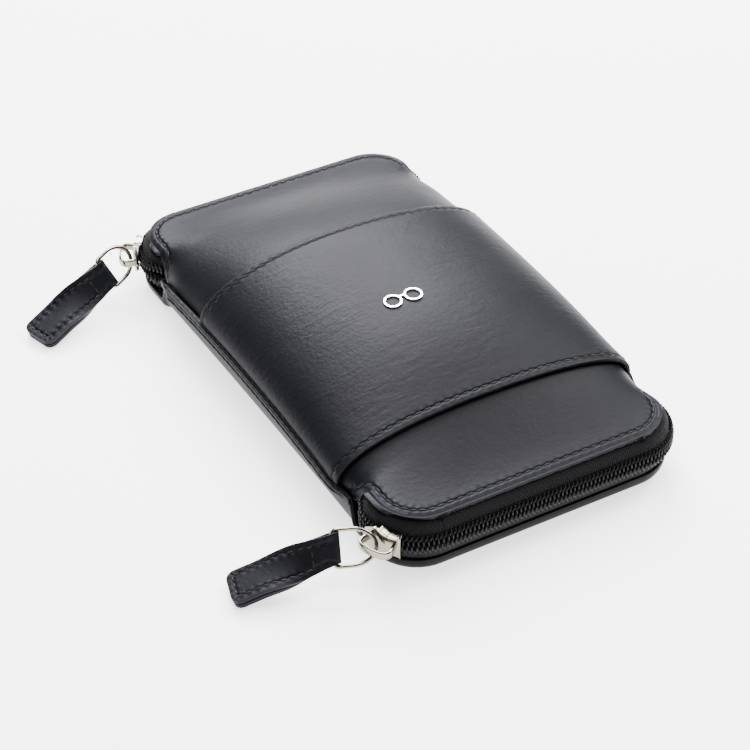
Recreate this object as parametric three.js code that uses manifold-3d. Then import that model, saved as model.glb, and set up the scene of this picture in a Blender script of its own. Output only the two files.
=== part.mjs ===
// Zipped leather case for two pairs of glasses: a bottom tray, a crowned top with a
// stitched band, a padded divider, and a zip across each short end with its own puller.
// Millimetres. X is the width, Y the length, Z is up, and the case rests on z = 0.

import * as THREE from 'three';
import { mergeVertices } from 'three/addons/utils/BufferGeometryUtils.js';
import Module from 'manifold-3d';

const wasm = await Module();
wasm.setup();

// ---- Driving dimensions -------------------------------------------------------------

const CLEAR = 0.3; // gap between pieces that touch

// The case
const CASE_LENGTH = 170; // between the leather edges above the two zips
const CASE_WIDTH = 94.6; // between the same edges' sides
const CORNER_RADIUS = 13.5;
const SEAM_FLARE = 2.1; // how far each side seam stands outside those edges
const LOWER_FLARE = 1.5; // how far the bottom leather's ends stand outside them
const CROWN_RISE = 14.3; // top panel's crest above the zip's upper leather edge
const CREST_OFFSET = 8; // crest's place, towards the back
const SIDE_FULLNESS = 2.05; // superellipse power of the middle sections
const END_FULLNESS = 2.5; // the same at the two ends

// Leather, boards and lining
const LEATHER = 1.1;
const LINING = 0.7;
const BOARD = 1;
const PAD = 1;
const DIVIDER = 1.6;
const DIVIDER_FLAT = 9; // length of the divider's flat front edge
const DIVIDER_SPREAD = { from: 0.1, to: 0.5 }; // shares of its rise over which it widens
const FLOOR_CURVE = { side: 9, end: 6 }; // how far the bottom's rounded walls reach inwards
const LINING_CURVE = { side: 5, end: 4 };
const LINING_SET_BACK = 4; // between the bottom leather's edge and the lining's
const WELT_WIDTH = 2.6;
const WELT_THICKNESS = 2.4;
const WELT_TAPER = 0.6; // share of its width that a side seam loses at its ends

// The band across the top
const FRONT_PANEL = 30; // bare top panel in front of the band
const BACK_PANEL = 53.5; // bare top panel behind it
const BAND = 1.1;

// The mouths
const MOUTH_BOTTOM = 4; // height of the bottom leather's edge at an end
const MOUTH_HEIGHT = 16; // from that edge up to the top leather's edge
const MOUTH_RETURN = 18; // how far a mouth runs back along each side
const MOUTH_SLANT = 7; // length of the sloping edge that closes it
const SEAM_HEIGHT = 12.5; // side seam above the table, next to a mouth
const SEAM_BOW = 3.4; // how much higher it runs at mid-length

// The zips
const COIL_HEIGHT = 12; // middle of the coil chain above the table
const COIL_OUT = 3; // middle of the chain outside the upper leather edge
const COIL_ROW = 2.3; // height of one row of coil
const COIL_DEPTH = 1.5;
const ROW_GAP = 1.2; // between the two rows
const TAPE = 0.6;
const TAPE_TUCK = 3.2; // how far a tape reaches under the leather
const TAIL_SWEEP = 3; // how far a tape's last stretch turns inwards
const TAPE_EDGE = 0.9; // from the middle of the chain to each tape's edge
const TAPE_START = 0.4; // the lower tape's start below the bottom leather's edge

// The sliders
const SLIDER_TURN = 26; // degrees round the corner from the case's left side
const SLIDER_LENGTH = 11;
const SLIDER_HEIGHT = 7.4;
const SHOULDER_HEIGHT = 9.4;
const SHOULDER_LENGTH = 4.6;
const PLATE = 1;
const PLAY = 0.5; // between the coil or tape and a slider plate
const FLANGE = 0.5;
const POST_LENGTH = 2.4;
const BRIDGE_WIDTH = 2.4;
const BRIDGE_LENGTH = 8.6;
const BRIDGE_LEG = 1.3;
const BRIDGE_OPENING = 4;
const BRIDGE = 1;
const SHOULDER_BACK = 0.6; // the shoulders' end behind the plate's
const BITE = 0.3; // how far a slider's joined parts run into each other

// The pull rings and tabs
const WIRE_RADIUS = 0.65;
const WIRE_BEND = 1.04; // radius of the ring's two bends beside the bar
const CORNER_CUT = 0.3; // share of that radius by which a bend cuts its corner
const RING_WIDTH = 10.5; // between the wire's centre lines
const RING_ARC = 7; // depth of the curved end
const RING_ARM = 5.1; // length of each straight arm
const TAB_LENGTH = 31;
const TAB_NECK = 8;
const TAB_END = 12.5;
const TAB_LAYER = 0.7;
const TAB_CORE = 0.5;
const CORE_MARGIN = { side: 1.5, end: 1 }; // from the strip's edges to the stiffener's
const LOOP_TAPER = 4.5;
const TAB_FLARE_START = -4; // where the strip starts to widen, from the ring's bar
const TAB_TWIST_START = 1;
const TAB_TWIST_END = 23.25; // from here to its free end the tab lies flat

// The foil mark on the band
const MARK_X = -3.3;
const MARK_FROM_FRONT = 73.5; // from the case's front edge
const MARK_LENS = 2.9;
const MARK_LINE = 0.6;
const FOIL = 0.25;

// ---- Values that follow from them ---------------------------------------------------

const HALF_LENGTH = CASE_LENGTH / 2;
const HALF_WIDTH = CASE_WIDTH / 2;
const SEAM_HALF = HALF_WIDTH + SEAM_FLARE;
const MOUTH_TOP = MOUTH_BOTTOM + MOUTH_HEIGHT;
const MOUTH_Y = HALF_LENGTH - MOUTH_RETURN;
const SEAM_END = MOUTH_Y - MOUTH_SLANT;
const FLOOR_STACK = LEATHER + CLEAR + BOARD + CLEAR + LINING;
const ROOF_STACK = LEATHER + CLEAR + PAD + CLEAR + LINING;
const BAND_FRONT = -HALF_LENGTH + FRONT_PANEL;
const BAND_BACK = HALF_LENGTH - BACK_PANEL;
const TAPE_FACE = COIL_OUT - COIL_DEPTH / 2 - CLEAR; // a tape's outer face behind the coil
const COIL_IN = COIL_OUT - COIL_DEPTH / 2;
const COIL_FACE = COIL_OUT + COIL_DEPTH / 2;
const OUTER_PLATE = COIL_FACE + PLAY;
const INNER_PLATE = TAPE_FACE - TAPE - PLAY;
const ARC_X = -HALF_WIDTH + CORNER_RADIUS; // centre of a left corner
const ARC_Y = HALF_LENGTH - CORNER_RADIUS;
const RING_LENGTH = RING_ARC + RING_ARM;
const SECTION_STEPS = 20;

// ---- Materials ----------------------------------------------------------------------

/** A plain surface of one colour. */
function surface(color, roughness, metalness = 0) {
  return new THREE.MeshStandardMaterial({ color, roughness, metalness });
}
const leather = () => surface(0x1b1c20, 0.45);
const lining = () => surface(0x23242a, 0.85);
const board = () => surface(0x8a8378, 0.9);
const tape = () => surface(0x0c0c0e, 0.9);
const coil = () => surface(0x101012, 0.3);
const nickel = () => surface(0xd9d4ca, 0.15, 1);

// ---- Closed solids ------------------------------------------------------------------

/** A closed geometry with its faces pointing out. */
function closedGeometry(points, triangles) {
  const cross = new THREE.Vector3();
  let volume = 0;
  for (const [a, b, c] of triangles) {
    volume += points[a].dot(cross.crossVectors(points[b], points[c]));
  }
  const ordered = volume < 0 ? triangles.map(([a, b, c]) => [a, c, b]) : triangles;
  const geometry = new THREE.BufferGeometry();
  geometry.setAttribute('position', new THREE.Float32BufferAttribute(points.flatMap((p) => p.toArray()), 3));
  geometry.setIndex(ordered.flat());
  geometry.computeVertexNormals();
  return geometry;
}

/** Joins rings of points into one skin. cap lists one ring's triangles; without it the ends meet. */
function loft(rings, cap) {
  const count = rings[0].length;
  const spans = cap ? rings.length - 1 : rings.length;
  const triangles = [];
  for (let r = 0; r < spans; r += 1) {
    const here = r * count;
    const next = ((r + 1) % rings.length) * count;
    for (let i = 0; i < count; i += 1) {
      const j = (i + 1) % count;
      triangles.push([here + i, here + j, next + j], [here + i, next + j, next + i]);
    }
  }
  if (cap) {
    const last = (rings.length - 1) * count;
    for (const [a, b, c] of cap) {
      triangles.push([a, c, b], [last + a, last + b, last + c]);
    }
  }
  return closedGeometry(rings.flat(), triangles);
}

/** Triangles that fill a flat outline, wound the way its points run. */
function outlineCap(outline) {
  const points = outline.map(([x, y]) => new THREE.Vector2(x, y));
  const triangles = THREE.ShapeUtils.triangulateShape(points, []);
  return THREE.ShapeUtils.isClockWise(points) ? triangles.map(([a, b, c]) => [a, c, b]) : triangles;
}

/** Triangles that fill a ring made of an upper row and a returning lower row. */
function stripCap(steps) {
  const triangles = [];
  const last = 2 * steps + 1;
  for (let i = 0; i < steps; i += 1) {
    triangles.push([i, i + 1, last - i - 1], [i, last - i - 1, last - i]);
  }
  return triangles;
}

/** The manifold solid of a geometry. */
function toSolid(geometry) {
  const bare = geometry.clone();
  bare.deleteAttribute('normal');
  bare.deleteAttribute('uv');
  const merged = mergeVertices(bare, 1e-4);
  return new wasm.Manifold(new wasm.Mesh({
    numProp: 3,
    vertProperties: new Float32Array(merged.attributes.position.array),
    triVerts: new Uint32Array(merged.index.array),
  }));
}

/** The geometry of a manifold solid. */
function toGeometry(solid) {
  const mesh = solid.getMesh();
  const geometry = new THREE.BufferGeometry();
  geometry.setAttribute('position', new THREE.BufferAttribute(mesh.vertProperties, 3));
  geometry.setIndex(new THREE.BufferAttribute(mesh.triVerts, 1));
  geometry.computeVertexNormals();
  return geometry;
}

/** One geometry from several that run into each other. */
function joined(geometries) {
  return toGeometry(geometries.map(toSolid).reduce((sum, piece) => sum.add(piece)));
}

// ---- The case's surfaces ------------------------------------------------------------

/** 0 at start, 1 at end, smooth between. */
function smooth(value, start, end) {
  const t = THREE.MathUtils.clamp((value - start) / (end - start), 0, 1);
  return t * t * (3 - 2 * t);
}

/** Half-width of a rounded rectangle at one place along its length. */
function roundedHalfWidth(y, halfWidth, halfLength, radius) {
  const past = Math.max(0, Math.abs(y) - (halfLength - radius));
  return halfWidth - radius + Math.sqrt(Math.max(0, radius * radius - past * past));
}

/** Height of the side seam. */
function seamHeight(y) {
  const t = Math.min(1, Math.abs(y) / SEAM_END);
  return SEAM_HEIGHT + SEAM_BOW * (1 - t * t);
}

/** Height of the top panel on the centre line. */
function crownHeight(y) {
  const away = Math.abs(y - CREST_OFFSET) / (HALF_LENGTH - Math.sign(y - CREST_OFFSET) * CREST_OFFSET);
  const fall = 1 - Math.min(1, away) ** 3;
  return MOUTH_TOP + CROWN_RISE * fall * fall;
}

/** A point on a layer of the top, depth below its outer face. across runs from -1 to 1. */
function topPoint(across, y, depth, lift = 0) {
  const end = smooth(Math.abs(y), SEAM_END, MOUTH_Y);
  const inner = roundedHalfWidth(y, HALF_WIDTH - depth, HALF_LENGTH - depth, CORNER_RADIUS - depth);
  const halfWidth = THREE.MathUtils.lerp(SEAM_HALF - depth, inner, end);
  const rim = THREE.MathUtils.lerp(seamHeight(y) + CLEAR / 2 + lift, MOUTH_TOP, end);
  const share = (y / HALF_LENGTH) ** 2;
  const power = THREE.MathUtils.lerp(SIDE_FULLNESS, END_FULLNESS, share);
  const angle = (across + 1) * Math.PI / 2;
  const side = -Math.sign(Math.cos(angle)) * Math.abs(Math.cos(angle)) ** (2 / power);
  const rise = Math.max(0, Math.sin(angle)) ** (2 / power);
  return new THREE.Vector3(halfWidth * side, y, rim + (crownHeight(y) - depth - rim) * rise);
}

/** A layer of the top through rows at the given places. Rows past a mouth stop at its edge. */
function topLayer(places, outer, inner, { lift = 0, pullBack = 0 } = {}) {
  const first = places[0];
  const last = places.at(-1);
  const reach = (y, depth) => {
    const limit = HALF_LENGTH - Math.max(depth, 0) - pullBack;
    return THREE.MathUtils.clamp(y, -limit, limit);
  };
  const rings = places.map((place) => {
    const share = (place - first) / (last - first);
    const ring = [];
    for (const [depth, way] of [[outer, 1], [inner, -1]]) {
      const y = THREE.MathUtils.lerp(reach(first, depth), reach(last, depth), share);
      for (let i = 0; i <= SECTION_STEPS; i += 1) {
        ring.push(topPoint(way * (2 * i / SECTION_STEPS - 1), y, depth, lift));
      }
    }
    return ring;
  });
  return loft(rings, stripCap(SECTION_STEPS));
}

/** Row places for the middle of the top, closer together beside the mouths. */
function middlePlaces() {
  const rise = [0.25, 0.5, 0.75].map((share) => SEAM_END + MOUTH_SLANT * share);
  const half = [0, 0.2, 0.4, 0.6, 0.8, 1].map((share) => SEAM_END * share);
  const back = [...half, ...rise, MOUTH_Y - CLEAR / 2];
  return [...back.slice(1).reverse().map((y) => -y), ...back];
}

/** Row places for a lip, closer together towards its rounded end. */
function lipPlaces(end) {
  const start = MOUTH_Y + CLEAR / 2;
  const shares = [0, 0.16, 0.33, 0.5, 0.66, 0.82, 1];
  return shares.map((share) => end * (start + (HALF_LENGTH - start) * Math.sin(share * Math.PI / 2)));
}

/** Evenly spaced row places. */
function evenPlaces(start, end, count) {
  return Array.from({ length: count + 1 }, (_, i) => THREE.MathUtils.lerp(start, end, i / count));
}

/** Height of the bottom leather's edge at one place along the length. */
function trayRim(y) {
  const end = smooth(Math.abs(y), SEAM_END - 1, MOUTH_Y - 2);
  return THREE.MathUtils.lerp(seamHeight(y) - CLEAR / 2, MOUTH_BOTTOM, end);
}

/** The bottom's plan outline, moved inwards at the sides and at the ends. */
function trayOutline(sideInset, endInset) {
  const halfWidth = SEAM_HALF - sideInset;
  const halfLength = HALF_LENGTH + LOWER_FLARE - endInset;
  const radius = Math.max(2, CORNER_RADIUS + LOWER_FLARE - (sideInset + endInset) / 2);
  const corner = [0, 0.2, 0.4, 0.6, 0.8, 1].map((share) => share * Math.PI / 2);
  const quarter = corner.map((a) => [
    halfWidth - radius + radius * Math.cos(a),
    halfLength - radius + radius * Math.sin(a),
  ]);
  const rise = [0.2, 0.4, 0.6, 0.8, 1].map((share) => SEAM_END - 1 + (MOUTH_SLANT - 1) * share);
  const side = [0, SEAM_END / 2, SEAM_END - 1, ...rise].map((y) => [halfWidth, y]);
  const right = [...side, ...quarter];
  const left = right.map(([x, y]) => [-x, y]).reverse();
  const top = [...right, ...left];
  return [...top, ...top.slice(0, -1).reverse().map(([x, y]) => [x, -y]).filter(([, y]) => y < 0)];
}

/** A bottom layer: a flat floor with rounded walls, set back from the outline and below its rim. */
function tray(outer, inner, curve, setBack = 0, drop = 0) {
  const level = (inset, share) => {
    const angle = share * Math.PI / 2;
    const edge = inset + setBack;
    const foot = trayOutline(edge + curve.side, edge + curve.end);
    return trayOutline(edge, edge).map(([x, y], i) => {
      const rim = trayRim(y) - drop;
      return new THREE.Vector3(
        THREE.MathUtils.lerp(foot[i][0], x, Math.cos(angle)),
        THREE.MathUtils.lerp(foot[i][1], y, Math.cos(angle)),
        rim - (rim - inset) * Math.sin(angle),
      );
    });
  };
  const walls = [0, 0.3, 0.6, 0.8, 1];
  const outside = walls.map((share) => level(outer, share)).reverse();
  const rings = [...outside, ...walls.map((share) => level(inner, share))];
  return loft(rings, outlineCap(rings[0].map((p) => [p.x, p.y])));
}

/** Height of the lining's face under the top, at one place. */
function roofHeight(x, y) {
  const halfWidth = SEAM_HALF - ROOF_STACK;
  const power = THREE.MathUtils.lerp(SIDE_FULLNESS, END_FULLNESS, (y / HALF_LENGTH) ** 2);
  const spread = Math.max(0, 1 - (Math.abs(x) / halfWidth) ** power) ** (1 / power);
  const rim = seamHeight(y);
  return rim + (crownHeight(y) - ROOF_STACK - rim) * spread;
}

// ---- Case pieces --------------------------------------------------------------------

/** The divider: low at the front zip, rising to the roof in front of the back zip. */
function dividerPanel() {
  const steps = 12;
  const low = FLOOR_STACK + CLEAR;
  const lowHalf = SEAM_HALF - FLOOR_STACK - LINING_SET_BACK - LINING_CURVE.side - CLEAR;
  const highHalf = SEAM_HALF - FLOOR_STACK - LINING_SET_BACK - 4 * CLEAR;
  const front = -HALF_LENGTH - LOWER_FLARE + FLOOR_STACK + LINING_SET_BACK + LINING_CURVE.end;
  const rings = evenPlaces(front, SEAM_END, 14).map((y) => {
    const rise = smooth(y, front + DIVIDER_FLAT, SEAM_END);
    const spread = smooth(rise, DIVIDER_SPREAD.from, DIVIDER_SPREAD.to);
    const half = THREE.MathUtils.lerp(lowHalf, highHalf, spread);
    const ring = [];
    for (const [base, way] of [[DIVIDER, 1], [0, -1]]) {
      for (let i = 0; i <= steps; i += 1) {
        const x = way * (2 * i / steps - 1) * half;
        const roof = Math.max(low, roofHeight(x, y) - 2 * CLEAR - DIVIDER);
        ring.push(new THREE.Vector3(x, y, THREE.MathUtils.lerp(low, roof, rise) + base));
      }
    }
    return ring;
  });
  return loft(rings, stripCap(steps));
}

/** The flat board in the floor. */
function floorBoard() {
  const edge = trayOutline(FLOOR_CURVE.side + LEATHER, FLOOR_CURVE.end + LEATHER);
  const outline = edge.map(([x, y]) => new THREE.Vector2(x, y));
  const geometry = new THREE.ExtrudeGeometry(new THREE.Shape(outline), { depth: BOARD, bevelEnabled: false });
  return geometry.translate(0, 0, LEATHER + CLEAR);
}

/** The stitched flange that closes one side. side is -1 for the left. */
function sideWelt(side) {
  const inner = SEAM_HALF + CLEAR;
  const rings = evenPlaces(-SEAM_END, SEAM_END, 12).map((y) => {
    const z = seamHeight(y);
    const taper = 1 - WELT_TAPER * smooth(Math.abs(y), SEAM_END - MOUTH_SLANT, SEAM_END);
    const low = z - WELT_THICKNESS / 2;
    const outer = inner + WELT_WIDTH * taper;
    return [[inner, low], [outer, low], [outer, low + WELT_THICKNESS], [inner, low + WELT_THICKNESS]]
      .map(([x, height]) => new THREE.Vector3(side * x, y, height));
  });
  return loft(rings, outlineCap([[0, 0], [1, 0], [1, 1], [0, 1]]));
}

/** A small pair of glasses in foil, lying on the band. */
function foilMark() {
  const ring = (x) => {
    const shape = new THREE.Shape().absarc(x, 0, MARK_LENS, 0, 2 * Math.PI, false);
    shape.holes.push(new THREE.Path().absarc(x, 0, MARK_LENS - MARK_LINE, 0, 2 * Math.PI, true));
    return new THREE.ExtrudeGeometry(shape, { depth: FOIL, bevelEnabled: false, curveSegments: 10 });
  };
  const apart = MARK_LENS + MARK_LINE;
  const bridge = new THREE.BoxGeometry(2 * (apart - MARK_LENS) + MARK_LINE, MARK_LINE, FOIL);
  bridge.translate(0, MARK_LENS / 3, FOIL / 2);
  const geometry = joined([ring(-apart), ring(apart), bridge]);
  const place = geometry.attributes.position;
  const middle = -HALF_LENGTH + MARK_FROM_FRONT;
  for (let i = 0; i < place.count; i += 1) {
    const x = place.getX(i) + MARK_X;
    const y = place.getY(i) + middle;
    const power = THREE.MathUtils.lerp(SIDE_FULLNESS, END_FULLNESS, (y / HALF_LENGTH) ** 2);
    const rim = seamHeight(y);
    const top = crownHeight(y) + CLEAR + BAND;
    const spread = Math.max(0, 1 - (Math.abs(x) / SEAM_HALF) ** power) ** (1 / power);
    place.setXYZ(i, x, y, rim + (top - rim) * spread + CLEAR + place.getZ(i));
  }
  return geometry;
}

// ---- Zips ---------------------------------------------------------------------------

/** Stations round one mouth, from the right side's end to the left side's. end is -1 for the front. */
function mouthPath(end) {
  const arc = [0, 1, 2, 3, 4, 5, 6].map((k) => k / 6 * Math.PI / 2);
  const tail = [MOUTH_Y - MOUTH_SLANT / 2, MOUTH_Y - MOUTH_SLANT / 4, MOUTH_Y - CLEAR / 2, MOUTH_Y + CLEAR / 2];
  const right = [
    ...tail.map((y) => ({ x: HALF_WIDTH, y, nx: 1, ny: 0 })),
    ...arc.map((a) => ({
      x: -ARC_X + CORNER_RADIUS * Math.cos(a),
      y: ARC_Y + CORNER_RADIUS * Math.sin(a),
      nx: Math.cos(a),
      ny: Math.sin(a),
    })),
  ];
  const left = right.map((s) => ({ x: -s.x, y: s.y, nx: -s.nx, ny: s.ny })).reverse();
  const middle = { x: 0, y: HALF_LENGTH, nx: 0, ny: 1 };
  const lipCorner = { x: ARC_X + CLEAR, y: HALF_LENGTH, nx: 0, ny: 1 };
  return [...right, middle, lipCorner, ...left].map((s) => ({ ...s, y: end * s.y, ny: end * s.ny }));
}

/** Sweeps a profile of [outwards, height] points along part of a mouth's path. */
function mouthSweep(stations, profile) {
  const rings = stations.map((s) => {
    const sweep = TAIL_SWEEP * (1 - smooth(Math.abs(s.y), MOUTH_Y - MOUTH_SLANT / 2, MOUTH_Y + 3));
    return profile.map(([out, z]) => new THREE.Vector3(
      s.x + s.nx * (out - sweep),
      s.y + s.ny * (out - sweep),
      z,
    ));
  });
  return loft(rings, outlineCap(profile));
}

/** Profile of the tape above the coil. */
function upperTape() {
  const tuck = MOUTH_TOP - LEATHER - 2 * CLEAR;
  const fall = tuck - TAPE - CLEAR / 3;
  const shoulder = COIL_HEIGHT + SHOULDER_HEIGHT / 2 - PLAY;
  const edge = COIL_HEIGHT + TAPE_EDGE;
  return [
    [-TAPE_TUCK, tuck],
    [-LEATHER, tuck],
    [TAPE_FACE / 2, fall],
    [TAPE_FACE, shoulder],
    [TAPE_FACE, edge],
    [TAPE_FACE - TAPE, edge],
    [TAPE_FACE - TAPE, shoulder - CLEAR],
    [TAPE_FACE / 2 - CLEAR, fall - TAPE],
    [-LEATHER, tuck - TAPE],
    [-TAPE_TUCK, tuck - TAPE],
  ];
}

/** Profile of the tape below the coil. */
function lowerTape() {
  const tuck = MOUTH_BOTTOM - TAPE_START;
  const shoulder = COIL_HEIGHT - SLIDER_HEIGHT / 2;
  const edge = COIL_HEIGHT - TAPE_EDGE;
  return [
    [-LEATHER, tuck],
    [-LEATHER + TAPE, tuck],
    [TAPE_START, MOUTH_BOTTOM + 2 * TAPE_START],
    [TAPE_FACE, shoulder - CLEAR],
    [TAPE_FACE, edge],
    [TAPE_FACE - TAPE, edge],
    [TAPE_FACE - TAPE, shoulder],
    [TAPE_START - TAPE, MOUTH_BOTTOM + TAPE_START + TAPE],
  ];
}

/** Profile of one row of coil. side is 1 for the upper row. */
function coilRow(side) {
  const near = COIL_HEIGHT + side * ROW_GAP / 2;
  const far = near + side * COIL_ROW;
  const soft = COIL_ROW / 4;
  return [
    [COIL_IN, near],
    [COIL_FACE - soft, near],
    [COIL_FACE, near + side * soft],
    [COIL_FACE, far - side * soft],
    [COIL_FACE - soft, far],
    [COIL_IN, far],
  ];
}

// ---- Sliders ------------------------------------------------------------------------

/** A block bent round a corner's centre, from one radius, arc place and height to another. */
function bentBlock(hand, [inner, outer], [from, to], [low, high]) {
  const middle = CORNER_RADIUS + COIL_OUT;
  const angle = (place) => Math.PI - hand * place / middle;
  const start = Math.min(angle(from), angle(to));
  const end = Math.max(angle(from), angle(to));
  const shape = new THREE.Shape();
  shape.absarc(0, 0, CORNER_RADIUS + outer, start, end, false);
  shape.absarc(0, 0, CORNER_RADIUS + inner, end, start, true);
  shape.closePath();
  const options = { depth: high - low, bevelEnabled: false, curveSegments: 5 };
  return new THREE.ExtrudeGeometry(shape, options).translate(0, 0, low);
}

/** Heights on both sides of the coil's middle. */
function aboutCoil(height) {
  return [COIL_HEIGHT - height / 2, COIL_HEIGHT + height / 2];
}

/** The slider: two plates, the post between them at the wide end, and the outer flanges. */
function sliderBody(hand) {
  const half = SLIDER_LENGTH / 2;
  const shoulder = half - SHOULDER_LENGTH;
  const chain = 2 * COIL_ROW + ROW_GAP + 2 * CLEAR;
  const flange = (side) => [
    COIL_HEIGHT + side * chain / 2,
    COIL_HEIGHT + side * (chain / 2 + FLANGE),
  ].sort((a, b) => a - b);
  return joined([
    bentBlock(hand, [OUTER_PLATE, OUTER_PLATE + PLATE], [-half, half], aboutCoil(SLIDER_HEIGHT)),
    bentBlock(hand, [OUTER_PLATE, OUTER_PLATE + PLATE], [shoulder, half - SHOULDER_BACK], aboutCoil(SHOULDER_HEIGHT)),
    bentBlock(hand, [INNER_PLATE - PLATE, INNER_PLATE], [-half, half], aboutCoil(SLIDER_HEIGHT - PLATE)),
    bentBlock(hand, [INNER_PLATE - BITE, OUTER_PLATE + BITE], [half - POST_LENGTH, half], aboutCoil(ROW_GAP / 2)),
    ...[-1, 1].map((side) => bentBlock(
      hand,
      [COIL_IN, OUTER_PLATE + BITE],
      [-half, shoulder],
      flange(side),
    )),
  ]);
}

/** The bridge on a slider's outer plate, which the pull ring passes under. */
function sliderBridge(hand) {
  const half = BRIDGE_LENGTH / 2;
  const base = OUTER_PLATE + PLATE + CLEAR;
  const under = OUTER_PLATE + PLATE + BRIDGE_OPENING;
  const width = aboutCoil(BRIDGE_WIDTH);
  return joined([
    bentBlock(hand, [under, under + BRIDGE], [-half, half], width),
    bentBlock(hand, [base, under + BITE], [-half, -half + BRIDGE_LEG], width),
    bentBlock(hand, [base, under + BITE], [half - BRIDGE_LEG, half], width),
  ]);
}

// ---- Pulls --------------------------------------------------------------------------

/** A round wire bent into a D. along points from the slider to the bar, across lies with the bar. */
function pullRing(apex, along, across) {
  const up = new THREE.Vector3().crossVectors(along, across);
  const half = RING_WIDTH / 2;
  const route = [];
  for (let k = 0; k <= 12; k += 1) {
    const a = -Math.PI / 2 + Math.PI * k / 12;
    route.push([RING_ARC * (1 - Math.cos(a)), half * Math.sin(a)]);
  }
  const corner = [
    [RING_LENGTH - WIRE_BEND, half],
    [RING_LENGTH - WIRE_BEND * CORNER_CUT, half - WIRE_BEND * CORNER_CUT],
    [RING_LENGTH, half - WIRE_BEND],
  ];
  route.push(...corner, ...corner.map(([l, w]) => [l, -w]).reverse());
  const rings = route.map(([l, w], i) => {
    const [bl, bw] = route[(i + route.length - 1) % route.length];
    const [nl, nw] = route[(i + 1) % route.length];
    const step = Math.hypot(nl - bl, nw - bw);
    const side = [(nw - bw) / step, -(nl - bl) / step];
    return Array.from({ length: 8 }, (_, k) => {
      const turn = k / 8 * 2 * Math.PI;
      const out = WIRE_RADIUS * Math.cos(turn);
      return apex.clone()
        .addScaledVector(along, l + side[0] * out)
        .addScaledVector(across, w + side[1] * out)
        .addScaledVector(up, WIRE_RADIUS * Math.sin(turn));
    });
  });
  return loft(rings);
}

/** Places on a tab: from the ring's bar to the free end, turning to lie flat. */
function tabFrame(pull, length) {
  const run = pull.tip.clone().sub(pull.bar);
  const along = run.clone().normalize();
  const flat = new THREE.Vector3(-along.y, along.x, 0).normalize();
  if (flat.dot(pull.across) < 0) {
    flat.negate();
  }
  const turn = smooth(length, TAB_TWIST_START, TAB_TWIST_END);
  const across = pull.across.clone().lerp(flat, turn).normalize();
  const up = new THREE.Vector3().crossVectors(along, across).normalize();
  return { centre: pull.bar.clone().addScaledVector(along, length), across, up };
}

/** Bends a flat outline of [length, height] points across a tab's width. */
function tabSweep(pull, outline, narrower = 0) {
  const rings = [-0.5, 0, 0.5].map((share) => outline.map(([length, height]) => {
    const frame = tabFrame(pull, length);
    const flare = smooth(length, TAB_FLARE_START, TAB_LENGTH);
    const width = THREE.MathUtils.lerp(TAB_NECK, TAB_END, flare) - narrower;
    return frame.centre.clone()
      .addScaledVector(frame.across, share * width)
      .addScaledVector(frame.up, height);
  }));
  return loft(rings, outlineCap(outline));
}

/** Lengths along a tab past its loop. */
function tabStations(end) {
  return [0.14, 0.28, 0.42, 0.56, 0.7, 0.85, 1].map((share) => LOOP_TAPER + (end - LOOP_TAPER) * share);
}

/** The folded leather strip, looped round the ring's bar. */
function tabLeather(pull) {
  const inner = TAB_CORE / 2 + 2 * CLEAR;
  const hole = WIRE_RADIUS + 1.5 * CLEAR;
  const outside = hole + TAB_LAYER;
  const arc = (radius) => [0, 1, 2, 3, 4, 5, 6].map((k) => {
    const a = Math.PI / 2 + Math.PI * k / 6;
    return [radius * Math.cos(a), radius * Math.sin(a)];
  });
  const stations = tabStations(TAB_LENGTH);
  const straight = (height) => [LOOP_TAPER, ...stations].map((length) => [length, height]);
  return tabSweep(pull, [
    ...straight(inner + TAB_LAYER).reverse(),
    ...arc(outside),
    ...straight(-inner - TAB_LAYER),
    ...straight(-inner).reverse(),
    ...arc(hole).reverse(),
    ...straight(inner),
  ]);
}

/** The stiffener between the strip's two layers. */
function tabCore(pull) {
  const stations = [LOOP_TAPER, ...tabStations(TAB_LENGTH).slice(0, -1), TAB_LENGTH - CORE_MARGIN.end];
  return tabSweep(pull, [
    ...stations.map((length) => [length, TAB_CORE / 2]).reverse(),
    ...stations.map((length) => [length, -TAB_CORE / 2]),
  ], 2 * CORE_MARGIN.side);
}

// ---- Assembly -----------------------------------------------------------------------

const group = new THREE.Group();

/** Adds one named piece. */
function add(name, geometry, material, x = 0, y = 0, turn = 0) {
  const mesh = new THREE.Mesh(geometry, material);
  mesh.name = name;
  mesh.position.set(x, y, 0);
  mesh.rotation.z = turn;
  group.add(mesh);
}

add('bottom_leather', tray(0, LEATHER, FLOOR_CURVE), leather());
add('bottom_board', floorBoard(), board());
add('bottom_lining', tray(
  FLOOR_STACK - LINING,
  FLOOR_STACK,
  LINING_CURVE,
  LINING_SET_BACK,
  2 * CLEAR,
), lining());
add('top_leather', topLayer(middlePlaces(), 0, LEATHER), leather());
add('top_pad', topLayer(
  evenPlaces(-SEAM_END, SEAM_END, 10),
  LEATHER + CLEAR,
  LEATHER + CLEAR + PAD,
), board());
add('top_lining', topLayer(
  evenPlaces(-SEAM_END, SEAM_END, 10),
  ROOF_STACK - LINING,
  ROOF_STACK,
), lining());
add('band_leather', topLayer(
  evenPlaces(BAND_FRONT, BAND_BACK, 9),
  -CLEAR - BAND,
  -CLEAR,
  { lift: WELT_THICKNESS / 2 + CLEAR },
), leather());
add('divider_panel', dividerPanel(), lining());
add('side_welt_left', sideWelt(-1), leather());
add('side_welt_right', sideWelt(1), leather());
add('foil_mark', foilMark(), nickel());

// Each pull: where its ring passes under the bridge, which way the ring and tab lie.
const pulls = {
  front: { end: -1, out: 7, drop: 0.6, ring: [-0.9, 0.44, -0.06], bar: [-0.18, -0.49, -0.85], tab: [-0.956, 0.29] },
  back: { end: 1, out: 7.1, drop: 1, ring: [-0.87, -0.44, -0.13], bar: [0.3, -0.5, -0.81], tab: [-0.96, -0.28] },
};

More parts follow.
